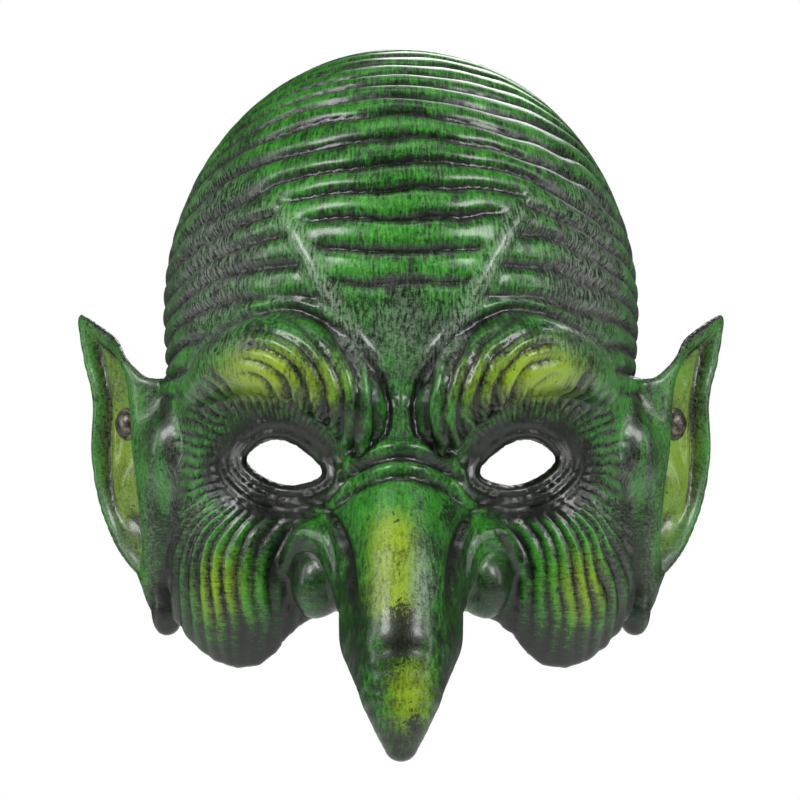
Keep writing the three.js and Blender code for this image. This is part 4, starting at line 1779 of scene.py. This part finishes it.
@dataclass
class Strap:
    """The knitted elastic in its two lengths, with its stitching. Sizes in mm."""

    route: StrapRoute
    elastic: bpy.types.Material
    thread: bpy.types.Material
    cords: int = 14
    rib: float = 0.16
    sew: float = 0.5
    slant: float = 11.0
    bead: tuple[float, float, float, float] = (0.34, 2.6, 0.42, 1.0)

    def section(self) -> Array:
        """Returns the band's section, n by 2 as (out, up): ribbed faces and rounded edges."""
        half, high = self.route.thick / 2, self.route.width / 2
        ups = np.linspace(-high + 0.5, high - 0.5, self.cords * 4 + 1)
        ribs = half - self.rib * (0.5 + 0.5 * np.cos(ups / (high - 0.5) * math.pi * self.cords))
        face = np.column_stack([ribs, ups])
        angles = np.radians([60, 90, 120])
        edge = np.column_stack([half * 0.8 * np.cos(angles), high - 0.5 + 0.5 * np.sin(angles)])
        return np.vstack([face, edge, face[::-1] * (-1, 1), edge[::-1] * (1, -1)])

    def loft(self, name: str, points: list[tuple[float, float]], step: float = 1.0) -> bpy.types.Object:
        """Sweeps the section along a route, closes both ends and stores how far along and up each point is.

        Args:
            name: the piece's name.
            points: the route, seen from above.
            step: the distance between sections.

        Returns:
            The band, in place.
        """
        line = self.route.smoothed(points, step)
        way = np.gradient(line, axis=0)
        way /= np.linalg.norm(way, axis=1, keepdims=True)
        section = self.section()
        count, around = len(line), len(section)
        reach = np.concatenate([[0.0], np.cumsum(np.hypot(*np.diff(line, axis=0).T))])
        out = section[:, 0][None, :, None] * np.column_stack([way[:, 1], -way[:, 0]])[:, None, :]
        plan = line[:, None, :] + out
        up = np.broadcast_to(section[:, 1][None, :, None], (count, around, 1))
        places = self.route.raise_up(np.concatenate([plan, up], axis=2).reshape(-1, 3))
        i, j = np.meshgrid(np.arange(count - 1), np.arange(around), indexing="ij")
        i, j, k = i.ravel() * around, j.ravel(), (j.ravel() + 1) % around
        quads = np.column_stack([i + j, i + around + j, i + around + k, i + k])
        ends = [list(range(around)), list(range(len(places) - 1, len(places) - 1 - around, -1))]
        mesh = bpy.data.meshes.new(name)
        mesh.from_pydata((places * MM).tolist(), [], quads.tolist() + ends)
        store(mesh, "along", np.repeat(reach, around))
        store(mesh, "side", np.tile(section[:, 1], count) + self.route.width / 2)
        obj = from_mesh(name, mesh)
        face_outward(obj)
        bpy.ops.object.shade_smooth_by_angle(angle=math.radians(50))
        mesh.materials.append(self.elastic)
        return obj

    def stitches(self, name: str, along: float, layers: tuple[float, float]) -> bpy.types.Object:
        """Sews a zigzag bar of thread across the band, on each face given.

        Args:
            name: the piece's name.
            along: how far along the right run it lies.
            layers: how far out the inner and outer faces lie.

        Returns:
            The stitching, as one mesh.
        """
        parts = []
        rows = int((self.route.width - 3.0) / self.sew)
        for out in layers:
            for i in range(rows):
                bpy.ops.mesh.primitive_uv_sphere_add(segments=8, ring_count=5, radius=0.5)
                bead = bpy.context.object
                turn = Matrix.Rotation(math.radians(self.slant if i % 2 else -self.slant), 4, "X")
                height = (i + 0.5 - rows / 2) * self.sew
                bead.matrix_world = turn @ bead.matrix_world @ Matrix.Diagonal(self.bead)
                settle(bead, self.route.on_loop(along, out) @ Matrix.Translation((0, 0, height)))
                parts.append(bead)
        obj = joined(parts, name)
        smooth(obj)
        obj.data.materials.append(self.thread)
        return obj

    def build(self) -> list[bpy.types.Object]:
        """Builds both lengths of elastic and their stitching, and returns them."""
        band = self.loft("head_strap_elastic", self.route.long_band())
        tab = self.loft("buckle_tab_elastic", self.route.right_end(), 0.7)
        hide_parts("strap_band", "left_strap_end")
        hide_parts("strap_tab", "right_strap_end")
        for piece in (band, tab):
            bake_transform(piece)
        outer = self.route.layer + self.route.thick / 2
        bars = [
            self.stitches("tab_stitching", 2.2, (-outer, outer)),
            self.stitches("tail_stitching", self.route.tail_end - 2.4, (outer,)),
        ]
        for bar in bars:
            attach(bar, "strap")
        return [band, tab, *bars]


@dataclass
class Buckle:
    """The three-bar slide that sets the strap's length. Sizes in mm."""

    route: StrapRoute
    plastic: bpy.types.Material
    inner: float = 18.0
    rail: float = 2.0
    rail_width: float = 2.4
    fineness: float = 0.22
    edge: float = 0.5

    def block(self, size: tuple[float, float, float], high: float) -> bpy.types.Object:
        """Adds a block with rounded edges.

        Args:
            size: its size along each axis.
            high: how far up it lies in the buckle's own axes.

        Returns:
            The block.
        """
        deselect()
        bpy.ops.mesh.primitive_cube_add(size=1, location=(0, 0, high), scale=size)
        obj = bpy.context.object
        bpy.ops.object.transform_apply(location=True, rotation=True, scale=True)
        bevel = obj.modifiers.new("rounded", "BEVEL")
        bevel.width, bevel.segments = self.edge, 3
        bpy.ops.object.modifier_apply(modifier=bevel.name)
        return obj

    def build(self) -> bpy.types.Object:
        """Moulds the buckle: rails and bars run together with small fillets. Returns it."""
        route = self.route
        high = (self.inner + self.rail) / 2
        length = 2 * (route.pitch + route.bar_radius)
        parts = [self.block((self.rail_width, length, self.rail), side * high) for side in (-1, 1)]
        for i in (-1, 0, 1):
            deselect()
            bpy.ops.mesh.primitive_cylinder_add(vertices=32, radius=route.bar_radius, depth=2 * high,
                                                location=(0, i * route.pitch, 0))
            parts.append(bpy.context.object)
            bpy.ops.object.transform_apply(location=True, rotation=True, scale=True)
        obj = joined(parts, "three_bar_buckle")
        run_together = obj.modifiers.new("run_together", "REMESH")
        run_together.mode, run_together.voxel_size = "VOXEL", self.fineness
        fillets = obj.modifiers.new("fillets", "SMOOTH")
        fillets.factor, fillets.iterations = 0.5, 4
        for modifier in list(obj.modifiers):
            bpy.ops.object.modifier_apply(modifier=modifier.name)
        settle(obj, route.on_loop(route.first_bar + route.pitch))
        smooth(obj)
        obj.data.materials.append(self.plastic)
        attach(obj, "strap")
        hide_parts("strap_buckle")
        return obj


@dataclass
class Keeper:
    """The flat loop that holds the loose tail against the strap. Sizes in mm."""

    route: StrapRoute
    plastic: bpy.types.Material
    at: float = 42.0
    length: float = 6.0
    wall: float = 1.2
    edge: float = 0.45
    outer_corner: float = 1.3
    inner_corner: float = 0.35

    def build(self) -> bpy.types.Object:
        """Cuts the loop from a rounded block, softens its edges and returns it."""
        deep = 2 * self.route.layer + self.route.thick + 2 * self.route.gap
        high = self.route.width + 2 * self.route.gap
        shapes = []
        for grow, long in ((2 * self.wall, self.length), (0.0, 3 * self.length)):
            deselect()
            bpy.ops.mesh.primitive_cube_add(size=1, scale=(deep + grow, long, high + grow))
            obj = bpy.context.object
            bpy.ops.object.transform_apply(location=True, rotation=True, scale=True)
            bpy.ops.object.mode_set(mode="EDIT")
            bpy.ops.mesh.select_mode(type="EDGE")
            bpy.ops.mesh.select_all(action="DESELECT")
            bpy.ops.object.mode_set(mode="OBJECT")
            for edge in obj.data.edges:
                a, b = (obj.data.vertices[i].co for i in edge.vertices)
                edge.select = abs(a.x - b.x) < 1e-3 and abs(a.z - b.z) < 1e-3
            bpy.ops.object.mode_set(mode="EDIT")
            bpy.ops.mesh.bevel(offset=self.outer_corner if grow else self.inner_corner, segments=6)
            bpy.ops.object.mode_set(mode="OBJECT")
            shapes.append(obj)
        body, cutter = shapes
        select(body)
        cut = body.modifiers.new("opening", "BOOLEAN")
        cut.operation, cut.object = "DIFFERENCE", cutter
        bpy.ops.object.modifier_apply(modifier=cut.name)
        bpy.data.objects.remove(cutter)
        soften = body.modifiers.new("softened", "BEVEL")
        soften.width, soften.segments, soften.limit_method = self.edge, 3, "ANGLE"
        soften.angle_limit = math.radians(50)
        bpy.ops.object.modifier_apply(modifier=soften.name)
        body.name = body.data.name = "tail_keeper"
        settle(body, self.route.on_loop(self.at))
        bpy.ops.object.shade_smooth_by_angle(angle=math.radians(45))
        body.data.materials.append(self.plastic)
        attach(body, "keeper")
        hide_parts("strap_keeper")
        return body


# ---------------------------------------------------------------- the studio

@dataclass
class Studio:
    """A pale floor, soft lights above and a level camera in front. Sizes in metres."""

    floor: float = -0.36
    floor_radius: float = 1.35
    camera_at: tuple[float, float, float] = (-0.0003, -1.1, 0.0079)
    focal: float = 150.0
    seen_sky: float = 1.0
    lighting_sky: float = 0.07
    aim: tuple[float, float, float] = (0, -0.05, 0.02)

    def ground(self) -> None:
        """Lays the round floor."""
        deselect()
        bpy.ops.mesh.primitive_circle_add(vertices=96, radius=self.floor_radius, fill_type="NGON",
                                          location=(0, 0, self.floor))
        obj = bpy.context.object
        obj.name = "studio_floor"
        obj.data.materials.append(StudioWhite().build())

    def sky(self) -> None:
        """Surrounds the scene with white that lights it only a little."""
        world = bpy.data.worlds.new("pale_room")
        bpy.context.scene.world = world
        world.use_nodes = True
        tree = world.node_tree
        dim = tree.nodes["Background"]
        plain = tree.nodes.new("ShaderNodeBackground")
        for node, strength in ((dim, self.lighting_sky), (plain, self.seen_sky)):
            node.inputs["Color"].default_value = (1, 1, 1, 1)
            node.inputs["Strength"].default_value = strength
        mix, ray = tree.nodes.new("ShaderNodeMixShader"), tree.nodes.new("ShaderNodeLightPath")
        tree.links.new(ray.outputs["Is Camera Ray"], mix.inputs[0])
        tree.links.new(dim.outputs[0], mix.inputs[1])
        tree.links.new(plain.outputs[0], mix.inputs[2])
        tree.links.new(mix.outputs[0], tree.nodes["World Output"].inputs["Surface"])

    def lamp(self, name: str, at: tuple[float, float, float], size: tuple[float, float],
             power: float) -> None:
        """Hangs a rectangular soft light that faces the mask.

        Args:
            name: the light's name.
            at: its place.
            size: its width and height.
            power: its power, in watts.
        """
        light = bpy.data.lights.new(name, "AREA")
        light.shape, light.size, light.size_y, light.energy = "RECTANGLE", *size, power
        obj = bpy.data.objects.new(name, light)
        bpy.context.collection.objects.link(obj)
        obj.location = at
        obj.rotation_euler = (Vector(self.aim) - Vector(at)).to_track_quat("-Z", "Y").to_euler()

    def build(self) -> None:
        """Makes the floor, the lights, the sky and the camera."""
        self.ground()
        self.sky()
        self.lamp("soft_box_left", (-0.85, -0.85, 0.8), (0.45, 0.45), 11.0)
        self.lamp("soft_box_right", (0.85, -0.85, 0.7), (0.45, 0.45), 10.0)
        self.lamp("strip_left", (-1.15, -0.3, 0.35), (0.2, 0.9), 3.2)
        self.lamp("strip_right", (1.15, -0.3, 0.35), (0.2, 0.9), 2.6)
        self.lamp("soft_box_top", (0.0, -0.2, 1.25), (0.8, 0.4), 2.0)
        self.lamp("soft_box_back", (0.3, 1.1, 0.9), (0.8, 0.5), 7.0)
        bpy.context.scene.view_settings.view_transform = "Standard"
        camera = bpy.data.cameras.new("camera")
        camera.lens, camera.clip_end = self.focal, 20.0
        obj = bpy.data.objects.new("camera", camera)
        bpy.context.collection.objects.link(obj)
        obj.location = self.camera_at
        obj.rotation_euler = (math.radians(90), 0, 0)
        bpy.context.scene.camera = obj


def main() -> None:
    """Builds the studio and the mask's visible pieces around the frame, and logs each piece's face count.
    """
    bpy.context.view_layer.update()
    Studio().build()
    skin = SkinBuilder().build()
    skin.data.materials.append(LatexPaint().build())
    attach(skin, "mask")
    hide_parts("mask_shell")
    route = StrapRoute()
    plastic = MouldedPlastic().build()
    pieces = [skin, *Rivets(DullMetal().build()).build()]
    pieces += Strap(route, WovenElastic().build(), SewingThread().build()).build()
    pieces += [Buckle(route, plastic).build(), Keeper(route, plastic).build()]
    for piece in pieces:
        log.info("%s: %d faces", piece.name, len(piece.data.polygons))


if __name__ == "__main__":
    main()
